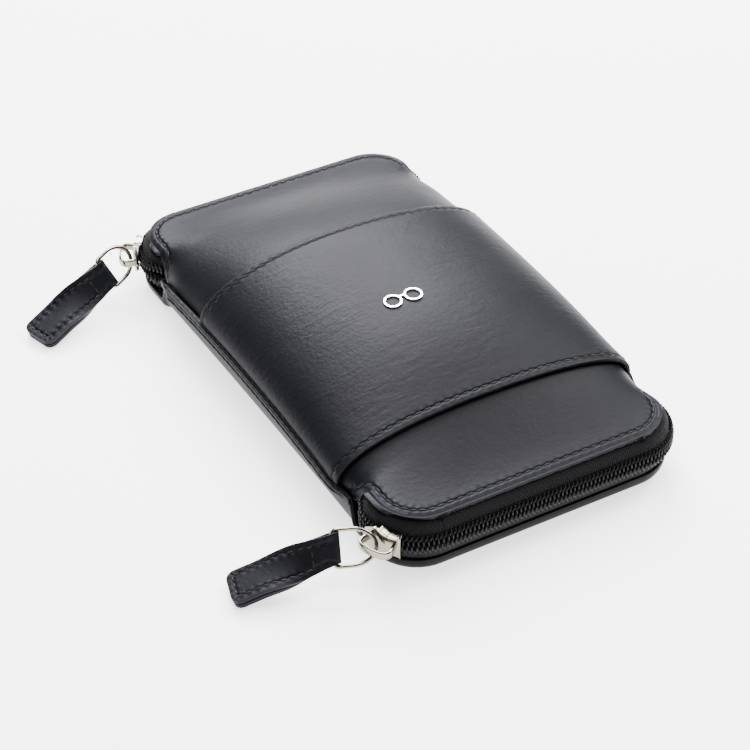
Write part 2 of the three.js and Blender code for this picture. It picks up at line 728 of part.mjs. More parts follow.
for (const [name, pull] of Object.entries(pulls)) {
  const { end } = pull;
  const path = mouthPath(end);
  const tail = path.slice(0, 3);
  const lip = path.slice(3, 13);
  const corner = path.slice(13);
  add(`${name}_lip_leather`, topLayer(lipPlaces(end), 0, LEATHER), leather());
  add(`${name}_lip_lining`, topLayer(
    evenPlaces(end * (MOUTH_Y + CLEAR / 2), end * HALF_LENGTH, 7),
    LEATHER + CLEAR,
    LEATHER + CLEAR + LINING,
    { pullBack: TAPE_TUCK },
  ), lining());
  add(`${name}_tape_upper`, mouthSweep(lip, upperTape()), tape());
  add(`${name}_tape_corner`, mouthSweep(corner, upperTape()), tape());
  add(`${name}_tape_tail`, mouthSweep(tail, upperTape()), tape());
  add(`${name}_tape_lower`, mouthSweep(path, lowerTape()), tape());
  add(`${name}_coil_upper`, mouthSweep(lip, coilRow(1)), coil());
  add(`${name}_coil_corner`, mouthSweep(corner.slice(0, -3), coilRow(1)), coil());
  add(`${name}_coil_lower`, mouthSweep(path.slice(3, -3), coilRow(-1)), coil());

  const hand = -end;
  const turn = THREE.MathUtils.degToRad(SLIDER_TURN) * hand;
  add(`${name}_slider_body`, sliderBody(hand), nickel(), ARC_X, end * ARC_Y, turn);
  add(`${name}_slider_bridge`, sliderBridge(hand), nickel(), ARC_X, end * ARC_Y, turn);

  const reach = CORNER_RADIUS + pull.out;
  const along = new THREE.Vector3(...pull.ring).normalize();
  const across = new THREE.Vector3(...pull.bar);
  across.addScaledVector(along, -across.dot(along)).normalize();
  const apex = new THREE.Vector3(
    ARC_X - reach * Math.cos(turn),
    end * ARC_Y - reach * Math.sin(turn),
    COIL_HEIGHT + pull.drop,
  );
  const bar = apex.clone().addScaledVector(along, RING_LENGTH);
  const low = TAB_CORE / 2 + 2 * CLEAR + TAB_LAYER;
  const run = Math.sqrt(TAB_LENGTH ** 2 - (bar.z - low) ** 2);
  const heading = new THREE.Vector2(...pull.tab).normalize();
  const tip = new THREE.Vector3(bar.x + heading.x * run, bar.y + heading.y * run, low);
  const placed = { bar, across, tip };
  add(`${name}_pull_ring`, pullRing(apex, along, across), nickel());
  add(`${name}_pull_leather`, tabLeather(placed), leather());
  add(`${name}_pull_core`, tabCore(placed), board());
}

export default group;
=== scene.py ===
"""Looks of a zipped leather case for two pairs of glasses.

Every size is in millimetres and becomes metres where a mesh is made. X is the width, Y the
length and Z is up, and the case rests on z = 0.
"""

import logging
import math
from dataclasses import dataclass, field
from enum import Enum
from typing import Callable, Iterable, Sequence

import bpy
import numpy as np
from mathutils import Matrix, Vector


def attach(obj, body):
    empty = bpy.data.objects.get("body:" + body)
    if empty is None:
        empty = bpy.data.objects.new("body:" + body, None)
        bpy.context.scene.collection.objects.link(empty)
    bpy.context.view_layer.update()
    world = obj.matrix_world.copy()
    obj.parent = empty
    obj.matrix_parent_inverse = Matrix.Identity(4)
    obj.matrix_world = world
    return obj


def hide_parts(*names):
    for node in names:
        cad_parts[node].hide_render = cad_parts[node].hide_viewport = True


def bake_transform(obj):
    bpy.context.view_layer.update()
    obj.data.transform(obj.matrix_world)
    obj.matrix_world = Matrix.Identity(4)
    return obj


LOG = logging.getLogger("glasses_case")
MM = 0.001
Point = Callable[[float, float], Vector]
Piece = bpy.types.Object
Socket = bpy.types.NodeSocket
Colour = tuple[float, float, float, float]
Place = tuple[Vector, Vector, Vector]
LEATHER_ROUND = 0.42
CLOTH_ROUND = 0.15


class End(Enum):
    """The two short ends of the case, and the way each one lies along Y."""

    FRONT = -1
    BACK = 1

    @property
    def word(self) -> str:
        """The end's name as its bodies and nodes spell it."""
        return self.name.lower()


def lerp(a: float, b: float, share: float) -> float:
    """The value at a share of the way from a to b."""
    return a + (b - a) * share


def smooth(value: float, start: float, end: float) -> float:
    """0 before start, 1 after end, and an even S between."""
    t = min(1.0, max(0.0, (value - start) / (end - start)))
    return t * t * (3 - 2 * t)


# ---- Modelling -------------------------------------------------------------------------


def clear_selection() -> None:
    """Leaves edit mode and deselects everything."""
    if bpy.context.object and bpy.context.object.mode != "OBJECT":
        bpy.ops.object.mode_set(mode="OBJECT")
    bpy.ops.object.select_all(action="DESELECT")


def pick(piece: Piece) -> None:
    """Makes one piece the only one selected."""
    clear_selection()
    piece.select_set(True)
    bpy.context.view_layer.objects.active = piece


def close_up(piece: Piece, distance: float = 0.02) -> None:
    """Merges doubled points and turns the faces outwards."""
    pick(piece)
    bpy.ops.object.mode_set(mode="EDIT")
    bpy.ops.mesh.select_all(action="SELECT")
    bpy.ops.mesh.remove_doubles(threshold=distance * MM)
    bpy.ops.mesh.normals_make_consistent(inside=False)
    bpy.ops.object.mode_set(mode="OBJECT")


def length_of(line: Sequence[Vector]) -> float:
    """The length of a line through points."""
    return sum((b - a).length for a, b in zip(line, line[1:]))


def face_away(piece: Piece, inside: Vector) -> None:
    """Turns a piece's faces away from a point inside it."""
    facing = sum(f.normal.dot(f.center - inside * MM) * f.area for f in piece.data.polygons)
    if facing < 0:
        piece.data.flip_normals()


def skin(
    name: str, columns: int, rows: int, place: Point, inside: Vector | None = None
) -> Piece:
    """A sheet whose points follow a surface.

    Args:
        name: The piece's name.
        columns: Faces along the first direction.
        rows: Faces along the second one.
        place: The surface in millimetres, from two shares between 0 and 1.
        inside: A point behind the sheet. Without it the sheet is closed on itself.

    Returns:
        The sheet, facing away from the point inside.
    """
    clear_selection()
    bpy.ops.mesh.primitive_grid_add(x_subdivisions=columns, y_subdivisions=rows, size=1)
    piece = bpy.context.object
    piece.name = piece.data.name = name
    for point in piece.data.vertices:
        point.co = place(point.co.x + 0.5, point.co.y + 0.5) * MM
    if inside is None:
        close_up(piece)
    else:
        face_away(piece, inside)
    return piece


def finish_with(piece: Piece, kind: str, **settings: object) -> None:
    """Adds one modifier with its settings and applies it."""
    pick(piece)
    modifier = piece.modifiers.new(kind.title(), kind)
    for key, value in settings.items():
        setattr(modifier, key, value)
    bpy.ops.object.modifier_apply(modifier=modifier.name)


def thicken(piece: Piece, thickness: float, edge: float = 0.3, offset: float = -1) -> None:
    """Gives a sheet its thickness and rounds its edges."""
    finish_with(piece, "SOLIDIFY", thickness=thickness * MM, offset=offset)
    sharp = math.radians(50)
    finish_with(piece, "BEVEL", width=edge * MM, segments=3, limit_method="ANGLE", angle_limit=sharp)


def shade(piece: Piece, angle: float = 42) -> None:
    """Smooths a piece's shading, apart from its sharp edges."""
    pick(piece)
    bpy.ops.object.shade_smooth_by_angle(angle=math.radians(angle))


def write_uv(piece: Piece, values: np.ndarray) -> None:
    """Writes one pair of numbers for each point into the piece's UV map."""
    mesh = piece.data
    layer = mesh.uv_layers.active or mesh.uv_layers.new(name="UVMap")
    corners = np.empty(len(mesh.loops), int)
    mesh.loops.foreach_get("vertex_index", corners)
    layer.data.foreach_set("uv", values[corners].astype(np.float32).ravel())


def points_of(piece: Piece) -> np.ndarray:
    """A piece's points in millimetres."""
    places = np.empty(len(piece.data.vertices) * 3)
    piece.data.vertices.foreach_get("co", places)
    return places.reshape(-1, 3) / MM


def along_edge(piece: Piece, edge: Sequence[Vector]) -> np.ndarray:
    """Each point's nearest place along an edge, and its distance from it, in millimetres."""
    line = np.array([tuple(p) for p in edge])
    arc = np.concatenate([[0], np.cumsum(np.linalg.norm(np.diff(line, axis=0), axis=1))])
    fine = np.linspace(0, arc[-1], int(arc[-1] / 0.25))
    dense = np.stack([np.interp(fine, arc, line[:, k]) for k in range(3)], axis=1)
    places = points_of(piece)
    values = np.empty((len(places), 2))
    for first in range(0, len(places), 2000):
        part = places[first:first + 2000]
        away = np.linalg.norm(part[:, None, :] - dense[None, :, :], axis=2)
        near = away.argmin(axis=1)
        values[first:first + 2000, 0] = fine[near]
        values[first:first + 2000, 1] = away[np.arange(len(part)), near]
    write_uv(piece, values)
    return values


def frame_at(centre: Vector, along: Vector, up: Vector) -> Matrix:
    """The place of a small part: its length runs along, and its top faces up."""
    length = along.normalized()
    side = up.cross(length).normalized()
    top = length.cross(side)
    turn = Matrix((length, side, top)).transposed().to_4x4()
    turn.translation = centre * MM
    return turn


def in_order(part: Piece) -> tuple[list[Vector], list[tuple[int, ...]]]:
    """A part's points and faces, put in the same order on every run."""
    points = [v.co.copy() for v in part.data.vertices]
    order = sorted(range(len(points)), key=lambda i: tuple(points[i]))
    rank = {old: new for new, old in enumerate(order)}
    faces = []
    for polygon in part.data.polygons:
        face = [rank[i] for i in polygon.vertices]
        first = face.index(min(face))
        faces.append(tuple(face[first:] + face[:first]))
    return [points[i] for i in order], sorted(faces)


def copies(name: str, part: Piece, places: Iterable[Matrix]) -> Piece:
    """One piece made of a small part's copies.

    Args:
        name: The new piece's name.
        part: The small part, which is removed once it is copied.
        places: Where each copy goes.

    Returns:
        The piece that holds every copy.
    """
    base, faces = in_order(part)
    points: list[Vector] = []
    polygons: list[tuple[int, ...]] = []
    for place in places:
        start = len(points)
        points += [place @ p for p in base]
        polygons += [tuple(start + i for i in face) for face in faces]
    mesh = bpy.data.meshes.new(name)
    mesh.from_pydata(points, [], polygons)
    piece = bpy.data.objects.new(name, mesh)
    bpy.context.scene.collection.objects.link(piece)
    bpy.data.objects.remove(part)
    pick(piece)
    bpy.ops.object.shade_smooth()
    return piece


def bead(length: float, width: float, height: float, rings: int = 6) -> Piece:
    """A small rounded dash, for a stitch or one turn of coil."""
    clear_selection()
    bpy.ops.mesh.primitive_uv_sphere_add(segments=8, ring_count=rings, radius=1)
    part = bpy.context.object
    bpy.ops.object.mode_set(mode="EDIT")
    bpy.ops.transform.rotate(value=math.pi / 2, orient_axis="Y", center_override=(0, 0, 0))
    bpy.ops.transform.resize(value=(length / 2 * MM, width / 2 * MM, height / 2 * MM))
    bpy.ops.object.mode_set(mode="OBJECT")
    return part


def fill_ends(piece: Piece) -> None:
    """Fills the open ends of a tube."""
    pick(piece)
    bpy.ops.object.mode_set(mode="EDIT")
    bpy.ops.mesh.select_all(action="SELECT")
    bpy.ops.mesh.fill_holes(sides=0)
    bpy.ops.mesh.normals_make_consistent(inside=False)
    bpy.ops.object.mode_set(mode="OBJECT")


def turn_edge(
    piece: Piece, values: np.ndarray, inset: float, pitch: float, drop: float, flat: bool = False
) -> None:
    """Rolls a leather's edge down and puckers it along its stitches.

    Args:
        piece: The leather, before it has its thickness.
        values: Each point's place along the edge and distance from it.
        inset: The stitch line's distance from the edge.
        pitch: The length of a stitch.
        drop: How far the very edge rolls down.
        flat: Whether the edge lies flat, so that everything sinks straight down.
    """
    normals = [Vector((0, 0, 1)) if flat else vertex.normal.copy() for vertex in piece.data.vertices]
    for vertex, normal, (along, away) in zip(piece.data.vertices, normals, values):
        roll = drop * math.exp(-((away / 1.3) ** 2))
        sunk = math.exp(-(((away - inset) / 0.75) ** 2))
        pucker = 0.16 * sunk * (0.6 + 0.4 * math.cos(2 * math.pi * along / pitch))
        vertex.co -= normal * (roll + pucker) * MM
    piece.data.update()


def sheet_area(piece: Piece) -> float:
    """The area of a sheet before it has its thickness, in square metres."""
    return sum(face.area for face in piece.data.polygons)


# ---- Finishes --------------------------------------------------------------------------


class Tree:
    """A node tree, with short ways to add nodes and join them."""

    def __init__(self, tree: bpy.types.NodeTree) -> None:
        """Keeps the tree."""
        self.tree = tree

    def node(self, kind: str, **settings: object) -> bpy.types.Node:
        """Adds a node and sets its options."""
        node = self.tree.nodes.new(kind)
        for key, value in settings.items():
            setattr(node, key, value)
        return node

    def feed(self, socket: Socket, value: object) -> None:
        """Links a socket, or sets it where the value isn't one."""
        if isinstance(value, Socket):
            self.tree.links.new(value, socket)
        else:
            socket.default_value = value

    def math(self, operation: str, *values: object) -> Socket:
        """One sum on sockets or numbers."""
        node = self.node("ShaderNodeMath", operation=operation)
        for socket, value in zip(node.inputs, values):
            self.feed(socket, value)
        return node.outputs[0]

    def plus(self, a: object, b: object) -> Socket:
        """a + b."""
        return self.math("ADD", a, b)

    def minus(self, a: object, b: object) -> Socket:
        """a - b."""
        return self.math("SUBTRACT", a, b)

    def times(self, a: object, b: object) -> Socket:
        """a * b."""
        return self.math("MULTIPLY", a, b)

    def mix(self, share: object, a: object, b: object) -> Socket:
        """A mix of two colours."""
        node = self.node("ShaderNodeMix", data_type="RGBA")
        for socket, value in zip((node.inputs[0], node.inputs[6], node.inputs[7]), (share, a, b)):
            self.feed(socket, value)
        return node.outputs[2]

    def noise(
        self, vector: Socket, scale: object, detail: float = 3, distortion: float = 0
    ) -> Socket:
        """Soft noise between 0 and 1."""
        node = self.node("ShaderNodeTexNoise")
        self.feed(node.inputs["Vector"], vector)
        self.feed(node.inputs["Scale"], scale)
        node.inputs["Detail"].default_value = detail
        node.inputs["Distortion"].default_value = distortion
        return node.outputs["Fac"]

    def stretch(self, vector: Socket, scale: tuple[float, float, float]) -> Socket:
        """A vector with its three parts scaled apart."""
        node = self.node("ShaderNodeMapping")
        self.feed(node.inputs["Vector"], vector)
        node.inputs["Scale"].default_value = scale
        return node.outputs["Vector"]

    def group(self, tree: bpy.types.NodeTree, **inputs: object) -> bpy.types.Node:
        """Places a node group with its own values."""
        node = self.node("ShaderNodeGroup", node_tree=tree)
        for key, value in inputs.items():
            self.feed(node.inputs[key.replace("_", " ").title()], value)
        return node


def new_group(
    name: str, inputs: Sequence[tuple[str, str, float | None]], outputs: Sequence[str]
) -> tuple[Tree, dict[str, Socket], bpy.types.Node]:
    """Starts a node group.

    Args:
        name: The group's name.
        inputs: Each input's name, kind and value.
        outputs: The names of its number outputs.

    Returns:
        The tree, its inputs by name, and the node that takes its outputs.
    """
    tree = bpy.data.node_groups.new(name, "ShaderNodeTree")
    for label, kind, value in inputs:
        socket = tree.interface.new_socket(label, in_out="INPUT", socket_type=kind)
        if value is not None:
            socket.default_value = value
    for label in outputs:
        tree.interface.new_socket(label, in_out="OUTPUT", socket_type="NodeSocketFloat")
    source = tree.nodes.new("NodeGroupInput")
    return Tree(tree), {s.name: s for s in source.outputs if s.name}, tree.nodes.new("NodeGroupOutput")


class Effects:
    """Effects that several finishes share."""

    def __init__(self) -> None:
        """Builds each effect once."""
        self.grain = self.make_grain()
        self.seam = self.make_seam()
        self.weave = self.make_weave()

    def make_grain(self) -> bpy.types.NodeTree:
        """Fine leather grain: pores between soft cells, and a slow change of tone."""
        tree, given, out = new_group(
            "Leather grain",
            [("Vector", "NodeSocketVector", None), ("Scale", "NodeSocketFloat", 900.0)],
            ["Height", "Tone"],
        )
        cells = tree.node("ShaderNodeTexVoronoi", feature="SMOOTH_F1")
        tree.feed(cells.inputs["Vector"], given["Vector"])
        tree.feed(cells.inputs["Scale"], given["Scale"])
        fine = tree.noise(given["Vector"], tree.times(given["Scale"], 1.9), 4)
        slow = tree.noise(given["Vector"], tree.times(given["Scale"], 0.035), 3)
        height = tree.plus(tree.times(cells.outputs["Distance"], 0.6), tree.times(fine, 0.5))
        tree.feed(out.inputs["Height"], height)
        tree.feed(out.inputs["Tone"], slow)
        return tree.tree

    def make_seam(self) -> bpy.types.NodeTree:
        """A stitched edge: the sunk stitch line with painted shade in its groove and holes, puckers between
        stitches, and the rim where a painted highlight goes.
        """
        tree, given, out = new_group(
            "Stitched edge",
            [
                ("Vector", "NodeSocketVector", None),
                ("Inset", "NodeSocketFloat", 2.7),
                ("Pitch", "NodeSocketFloat", 3.2),
                ("Groove", "NodeSocketFloat", 0.45),
            ],
            ["Height", "Rim", "Line"],
        )
        parts = tree.node("ShaderNodeSeparateXYZ")
        tree.feed(parts.inputs[0], given["Vector"])
        away = tree.math("DIVIDE", tree.minus(parts.outputs[1], given["Inset"]), given["Groove"])
        line = tree.math("EXPONENT", tree.times(tree.times(away, away), -1.0))
        wide = tree.math("DIVIDE", away, 2.6)
        pad = tree.math("EXPONENT", tree.times(tree.times(wide, wide), -1.0))
        turn = tree.times(tree.math("DIVIDE", parts.outputs[0], given["Pitch"]), 2 * math.pi)
        pucker = tree.times(tree.math("COSINE", turn), tree.times(pad, 0.3))
        height = tree.plus(tree.times(line, -1.0), pucker)
        # Rim: a mask over the edge's first 0.55 mm, where a lighter colour is painted as a highlight.
        rim = tree.minus(1.0, tree.math("DIVIDE", parts.outputs[1], 0.55))
        rim.node.use_clamp = True
        tree.feed(out.inputs["Height"], height)
        tree.feed(out.inputs["Rim"], rim)
        # Line: where painted shade darkens the stitch groove, most at the holes between stitches.
        holes = tree.plus(tree.times(tree.math("COSINE", turn), 0.6), 0.4)
        holes.node.use_clamp = True
        tree.feed(out.inputs["Line"], tree.times(line, holes))
        return tree.tree

    def make_weave(self) -> bpy.types.NodeTree:
        """Ribbed cloth, from a vector in threads."""
        tree, given, out = new_group("Weave", [("Vector", "NodeSocketVector", None)], ["Height"])
        parts = tree.node("ShaderNodeSeparateXYZ")
        tree.feed(parts.inputs[0], given["Vector"])
        across = tree.math("SINE", tree.times(parts.outputs[0], 2 * math.pi))
        slant = tree.plus(parts.outputs[0], parts.outputs[1])
        twill = tree.math("SINE", tree.times(slant, math.pi))
        rib = tree.plus(tree.times(across, 0.3), tree.times(twill, 0.2))
        tree.feed(out.inputs["Height"], tree.plus(rib, 0.5))
        return tree.tree


def scaled(colour: Colour, share: float) -> Colour:
    """A lighter or darker version of a colour."""
    return tuple(c * share for c in colour[:3]) + (1,)


def start_material(name: str, **fixed: object) -> tuple[bpy.types.Material, Tree, bpy.types.Node]:
    """A material with a bare shader.

    Args:
        name: The material's name.
        fixed: Values for the shader's own sockets, by name with _ for spaces.

    Returns:
        The material, its tree, and its shader.
    """
    material = bpy.data.materials.new(name)
    material.use_nodes = True
    tree = Tree(material.node_tree)
    shader = material.node_tree.nodes["Principled BSDF"]
    for key, value in fixed.items():
        shader.inputs[key.replace("_", " ")].default_value = value
    return material, tree, shader


def add_bump(tree: Tree, shader: bpy.types.Node, height: Socket, depth: float) -> None:
    """Feeds a height into the shader's normal. depth is in millimetres."""
    bump = tree.node("ShaderNodeBump")
    bump.inputs["Strength"].default_value = 1.0
    bump.inputs["Distance"].default_value = depth * MM
    tree.feed(bump.inputs["Height"], height)
    tree.feed(shader.inputs["Normal"], bump.outputs["Normal"])


@dataclass(frozen=True)
class Leather:
    """Smooth dyed leather with a fine grain, and a highlight painted along its edges in a lighter colour."""

    name: str
    colour: Colour = (0.0038, 0.0039, 0.0052, 1)
    # A lighter colour painted along the edge as a highlight.
    edge_highlight: Colour = (0.02, 0.02, 0.023, 1)
    roughness: float = 0.42
    grain: float = 850.0
    grain_depth: float = 0.08
    wrinkle: float = 0.0
    seam_inset: float = 2.7
    seam_pitch: float = 3.2
    seam_depth: float = 0.4
    crease_scale: tuple[float, float, float] = (150.0, 560.0, 150.0)
    crease_patches: float = 38.0
    softness: float = 0.12
    # A darker colour painted into the stitch groove and its holes as shade.
    groove_shade: Colour = (0.002, 0.002, 0.0025, 1)

    def make(self, effects: Effects) -> bpy.types.Material:
        """Builds the material."""
        material, tree, shader = start_material(self.name, Specular_IOR_Level=0.07)
        coords = tree.node("ShaderNodeTexCoord")
        place = coords.outputs["Object"]
        grain = tree.group(effects.grain, vector=place, scale=self.grain)
        seam = tree.group(
            effects.seam,
            vector=coords.outputs["UV"],
            inset=self.seam_inset,
            pitch=self.seam_pitch,
        )
        drawn = tree.noise(tree.stretch(place, self.crease_scale), 1.0, 4, 0.6)
        where = tree.noise(place, self.crease_patches, 2)
        masked = tree.times(drawn, tree.minus(where, 0.3))
        soft = tree.noise(place, 95.0, 3)
        height = tree.plus(
            tree.times(grain.outputs["Height"], self.grain_depth), tree.times(masked, self.wrinkle)
        )
        height = tree.plus(height, tree.times(soft, self.softness))
        height = tree.plus(height, tree.times(seam.outputs["Height"], self.seam_depth))
        add_bump(tree, shader, height, 1.0)
        dyed = tree.mix(grain.outputs["Tone"], self.colour, scaled(self.colour, 1.35))
        # Painted shade in the stitch groove, darkest at the holes.
        dyed = tree.mix(tree.times(seam.outputs["Line"], 0.85), dyed, self.groove_shade)
        # Painted highlight: a lighter colour along the rim of the edge.
        rim = tree.times(seam.outputs["Rim"], tree.plus(grain.outputs["Tone"], 0.1))
        tree.feed(shader.inputs["Base Color"], tree.mix(rim, dyed, self.edge_highlight))
        rough = tree.plus(self.roughness, tree.times(tree.minus(grain.outputs["Tone"], 0.5), 0.14))
        tree.feed(shader.inputs["Roughness"], rough)
        return material


@dataclass(frozen=True)
class Cloth:
    """Woven cloth: zip tape or lining."""

    name: str
    colour: Colour
    thread: float
    depth: float
    roughness: float = 0.85
    on_surface: bool = True

    def make(self, effects: Effects) -> bpy.types.Material:
        """Builds the material."""
        material, tree, shader = start_material(
            self.name, Sheen_Weight=0.02, Sheen_Roughness=0.5, Specular_IOR_Level=0.15
        )
        coords = tree.node("ShaderNodeTexCoord")
        source = coords.outputs["UV"] if self.on_surface else coords.outputs["Object"]
        scale = 1 / self.thread if self.on_surface else 1 / (self.thread * MM)
        weave = tree.group(effects.weave, vector=tree.stretch(source, (scale, scale, scale)))
        fuzz = tree.noise(coords.outputs["Object"], 2200.0, 2)
        height = tree.plus(weave.outputs["Height"], tree.times(fuzz, 0.5))
        add_bump(tree, shader, height, self.depth)
        # Painted highlight and shade: the colour is lighter where the weave and fuzz stand up, and darker in
        # the weave's hollows.
        light = scaled(self.colour, 2.1)
        tree.feed(shader.inputs["Base Color"], tree.mix(tree.times(height, 0.6), self.colour, light))
        tree.feed(shader.inputs["Roughness"], tree.plus(self.roughness, tree.times(fuzz, 0.1)))
        return material


@dataclass(frozen=True)
class Metal:
    """Polished plate, with faint smudges and hairlines."""

    name: str
    colour: Colour = (0.27, 0.245, 0.195, 1)
    roughness: float = 0.16

    def make(self) -> bpy.types.Material:
        """Builds the material."""
        material, tree, shader = start_material(self.name, Metallic=1.0)
        place = tree.node("ShaderNodeTexCoord").outputs["Object"]
        smudge = tree.noise(place, 320.0, 3)
        hair = tree.noise(tree.stretch(place, (900, 5200, 900)), 1.0, 2)
        tree.feed(shader.inputs["Base Color"], tree.mix(smudge, self.colour, scaled(self.colour, 0.86)))
        rough = tree.plus(self.roughness - 0.04, tree.times(smudge, 0.12))
        tree.feed(shader.inputs["Roughness"], rough)
        add_bump(tree, shader, hair, 0.004)
        return material


@dataclass(frozen=True)
class Plain:
    """A moulded, spun or pressed finish with a little variation."""

    name: str
    colour: Colour
    roughness: float
    scale: float
    depth: float
    spread: float = 0.35
    specular: float = 0.3

    def make(self) -> bpy.types.Material:
        """Builds the material."""
        material, tree, shader = start_material(self.name, Specular_IOR_Level=self.specular)
        place = tree.node("ShaderNodeTexCoord").outputs["Object"]
        grain = tree.noise(place, self.scale, 4)
        dark = scaled(self.colour, 1 - self.spread)
        tree.feed(shader.inputs["Base Color"], tree.mix(grain, dark, self.colour))
        tree.feed(shader.inputs["Roughness"], tree.plus(self.roughness, tree.times(grain, 0.1)))
        add_bump(tree, shader, grain, self.depth)
        return material


class Finishes:
    """Every finish on the case."""

    def __init__(self) -> None:
        """Builds each finish once."""
        effects = Effects()
        self.panel = Leather("End panel leather", wrinkle=0.1).make(effects)
        self.band = Leather("Band leather", wrinkle=0.55, seam_inset=2.3, roughness=0.44).make(effects)
        self.bottom = Leather("Bottom leather", wrinkle=0.1, seam_depth=0.0).make(effects)
        self.welt = Leather("Seam leather", seam_inset=1.1, seam_pitch=3.2, seam_depth=0.25).make(effects)
        self.tab = Leather(
            "Pull leather", seam_inset=1.9, seam_pitch=2.6, roughness=0.5, grain=1100.0
        ).make(effects)
        self.tape = Cloth("Zip tape cloth", (0.0022, 0.0022, 0.0024, 1), 0.7, 0.2).make(effects)
        self.lining = Cloth(
            "Lining cloth", (0.016, 0.017, 0.021, 1), 0.6, 0.08, on_surface=False
        ).make(effects)
        self.nickel = Metal("Polished nickel").make()
        self.foil = Metal("Silver foil", (0.93, 0.93, 0.94, 1), 0.3).make()
        self.coil = Plain(
            "Zip coil nylon", (0.004, 0.004, 0.0045, 1), 0.36, 700.0, 0.01, specular=0.14
        ).make()
        self.thread = Plain("Sewing thread", (0.004, 0.004, 0.0045, 1), 0.5, 2600.0, 0.05).make()
        self.board = Plain("Greyboard", (0.26, 0.24, 0.21, 1), 0.85, 900.0, 0.05).make()
        self.foam = Plain("Foam", (0.10, 0.10, 0.11, 1), 0.9, 1500.0, 0.1).make()


def dress(piece: Piece, finish: bpy.types.Material) -> None:
    """Gives a piece its finish."""
    piece.data.materials.clear()
    piece.data.materials.append(finish)


def settle(piece: Piece, finish: bpy.types.Material, slot: str, body: str, *nodes: str) -> None:
    """Gives a piece its finish and its body, and hides the nodes that it replaces."""
    dress(piece, finish)
    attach(piece, body)
    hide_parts(*nodes)


# ---- The case's form -------------------------------------------------------------------


@dataclass(frozen=True)
class CaseForm:
    """The surfaces that all the leather, cloth and zips follow."""

    half_length: float = 85.0
    half_width: float = 47.3
    corner: float = 13.5
    seam_half: float = 49.4
    lower_flare: float = 1.5
    mouth_top: float = 20.0
    mouth_y: float = 67.0
    seam_end: float = 60.0
    seam_low: float = 12.5
    seam_bow: float = 3.4
    crown_rise: float = 14.3
    crest: float = 8.0
    side_fullness: float = 2.05
    end_fullness: float = 2.5
    lean: float = 0.2
    gap: float = 0.3
    ease: tuple[float, float] = (40.0, 82.0)
    notch: tuple[float, float] = (60.5, 67.2)
    right_notch: float = 75.0
    low_notch: tuple[float, float] = (59.6, 62.6)
    low_rim: float = 5.0

    def seam(self, y: float) -> float:
        """Height of the side seam."""
        t = min(1.0, abs(y) / self.seam_end)
        return self.seam_low + self.seam_bow * (1 - t * t)

    def crown(self, y: float) -> float:
        """Height of the top on the centre line."""
        away = y - self.crest
        share = abs(away) / (self.half_length - math.copysign(self.crest, away))
        fall = 1 - min(1.0, share) ** 3
        return self.mouth_top + self.crown_rise * fall * fall

    def top(self, across: float, y: float, depth: float = 0.0, lift: float = 0.0) -> Vector:
        """A point of the top.

        Args:
            across: From -1 at the left seam to 1 at the right one.
            y: The place along the case.
            depth: How far below the end panels' outer face the point lies.
            lift: How far the rim stands above the seam.

        Returns:
            The point in millimetres.
        """
        notch_end = lerp(self.notch[1], self.right_notch, max(0.0, across) ** 2)
        end = smooth(abs(y), self.notch[0], notch_end)
        narrow = smooth(abs(y), self.seam_end - 10, self.mouth_y + 1)
        radius = self.corner - depth
        past = max(0.0, abs(y) - (self.half_length - self.corner))
        rounded = self.half_width - self.corner + math.sqrt(max(0.0, radius * radius - past * past))
        half = lerp(self.seam_half - depth, rounded, narrow)
        rim = lerp(self.seam(y) + self.gap / 2 + lift, self.mouth_top, end)
        power = lerp(self.side_fullness, self.end_fullness, (y / self.half_length) ** 2)
        power += self.lean * across * (1 - end)
        angle = (across + 1) * math.pi / 2
        side = -math.copysign(abs(math.cos(angle)) ** (2 / power), math.cos(angle))
        rise = max(0.0, math.sin(angle)) ** (2 / power)
        eased = lerp(self.seam(y) + self.gap / 2 + lift, self.mouth_top, smooth(abs(y), *self.ease))
        base = eased + (rim - eased) * (1 - min(1.0, rise)) ** 3
        return Vector((half * side, y, base + (self.crown(y) - depth - base) * rise))

    def tray_rim(self, y: float) -> float:
        """Height of the bottom leather's edge."""
        end = smooth(abs(y), *self.low_notch)
        return lerp(self.seam(y) - self.gap / 2, self.low_rim, end)

    def outline(self, side: float, end: float, turns: int = 14) -> list[Vector]:
        """The bottom's plan, moved inwards by side and end, as points all the way round."""
        half_width = self.seam_half - side
        half_length = self.half_length + self.lower_flare - end
        radius = max(2.0, self.corner + self.lower_flare - (side + end) / 2)
        sides = [Vector((half_width, lerp(0, self.seam_end - 1, k / 16), 0)) for k in range(17)]
        sides += [Vector((half_width, self.seam_end - 1 + 0.6 * k, 0)) for k in range(1, 15)]
        quarter = [
            Vector((
                half_width - radius + radius * math.cos(k / turns * math.pi / 2),
                half_length - radius + radius * math.sin(k / turns * math.pi / 2),
                0,
            ))
            for k in range(turns + 1)
        ]
        ends = [Vector((lerp(half_width - radius, 0, k / 8), half_length, 0)) for k in range(1, 9)]
        right = sides + quarter + ends
        top = right + [Vector((-p.x, p.y, 0)) for p in reversed(right[:-1])]
        return top + [Vector((p.x, -p.y, 0)) for p in reversed(top[1:-1])]


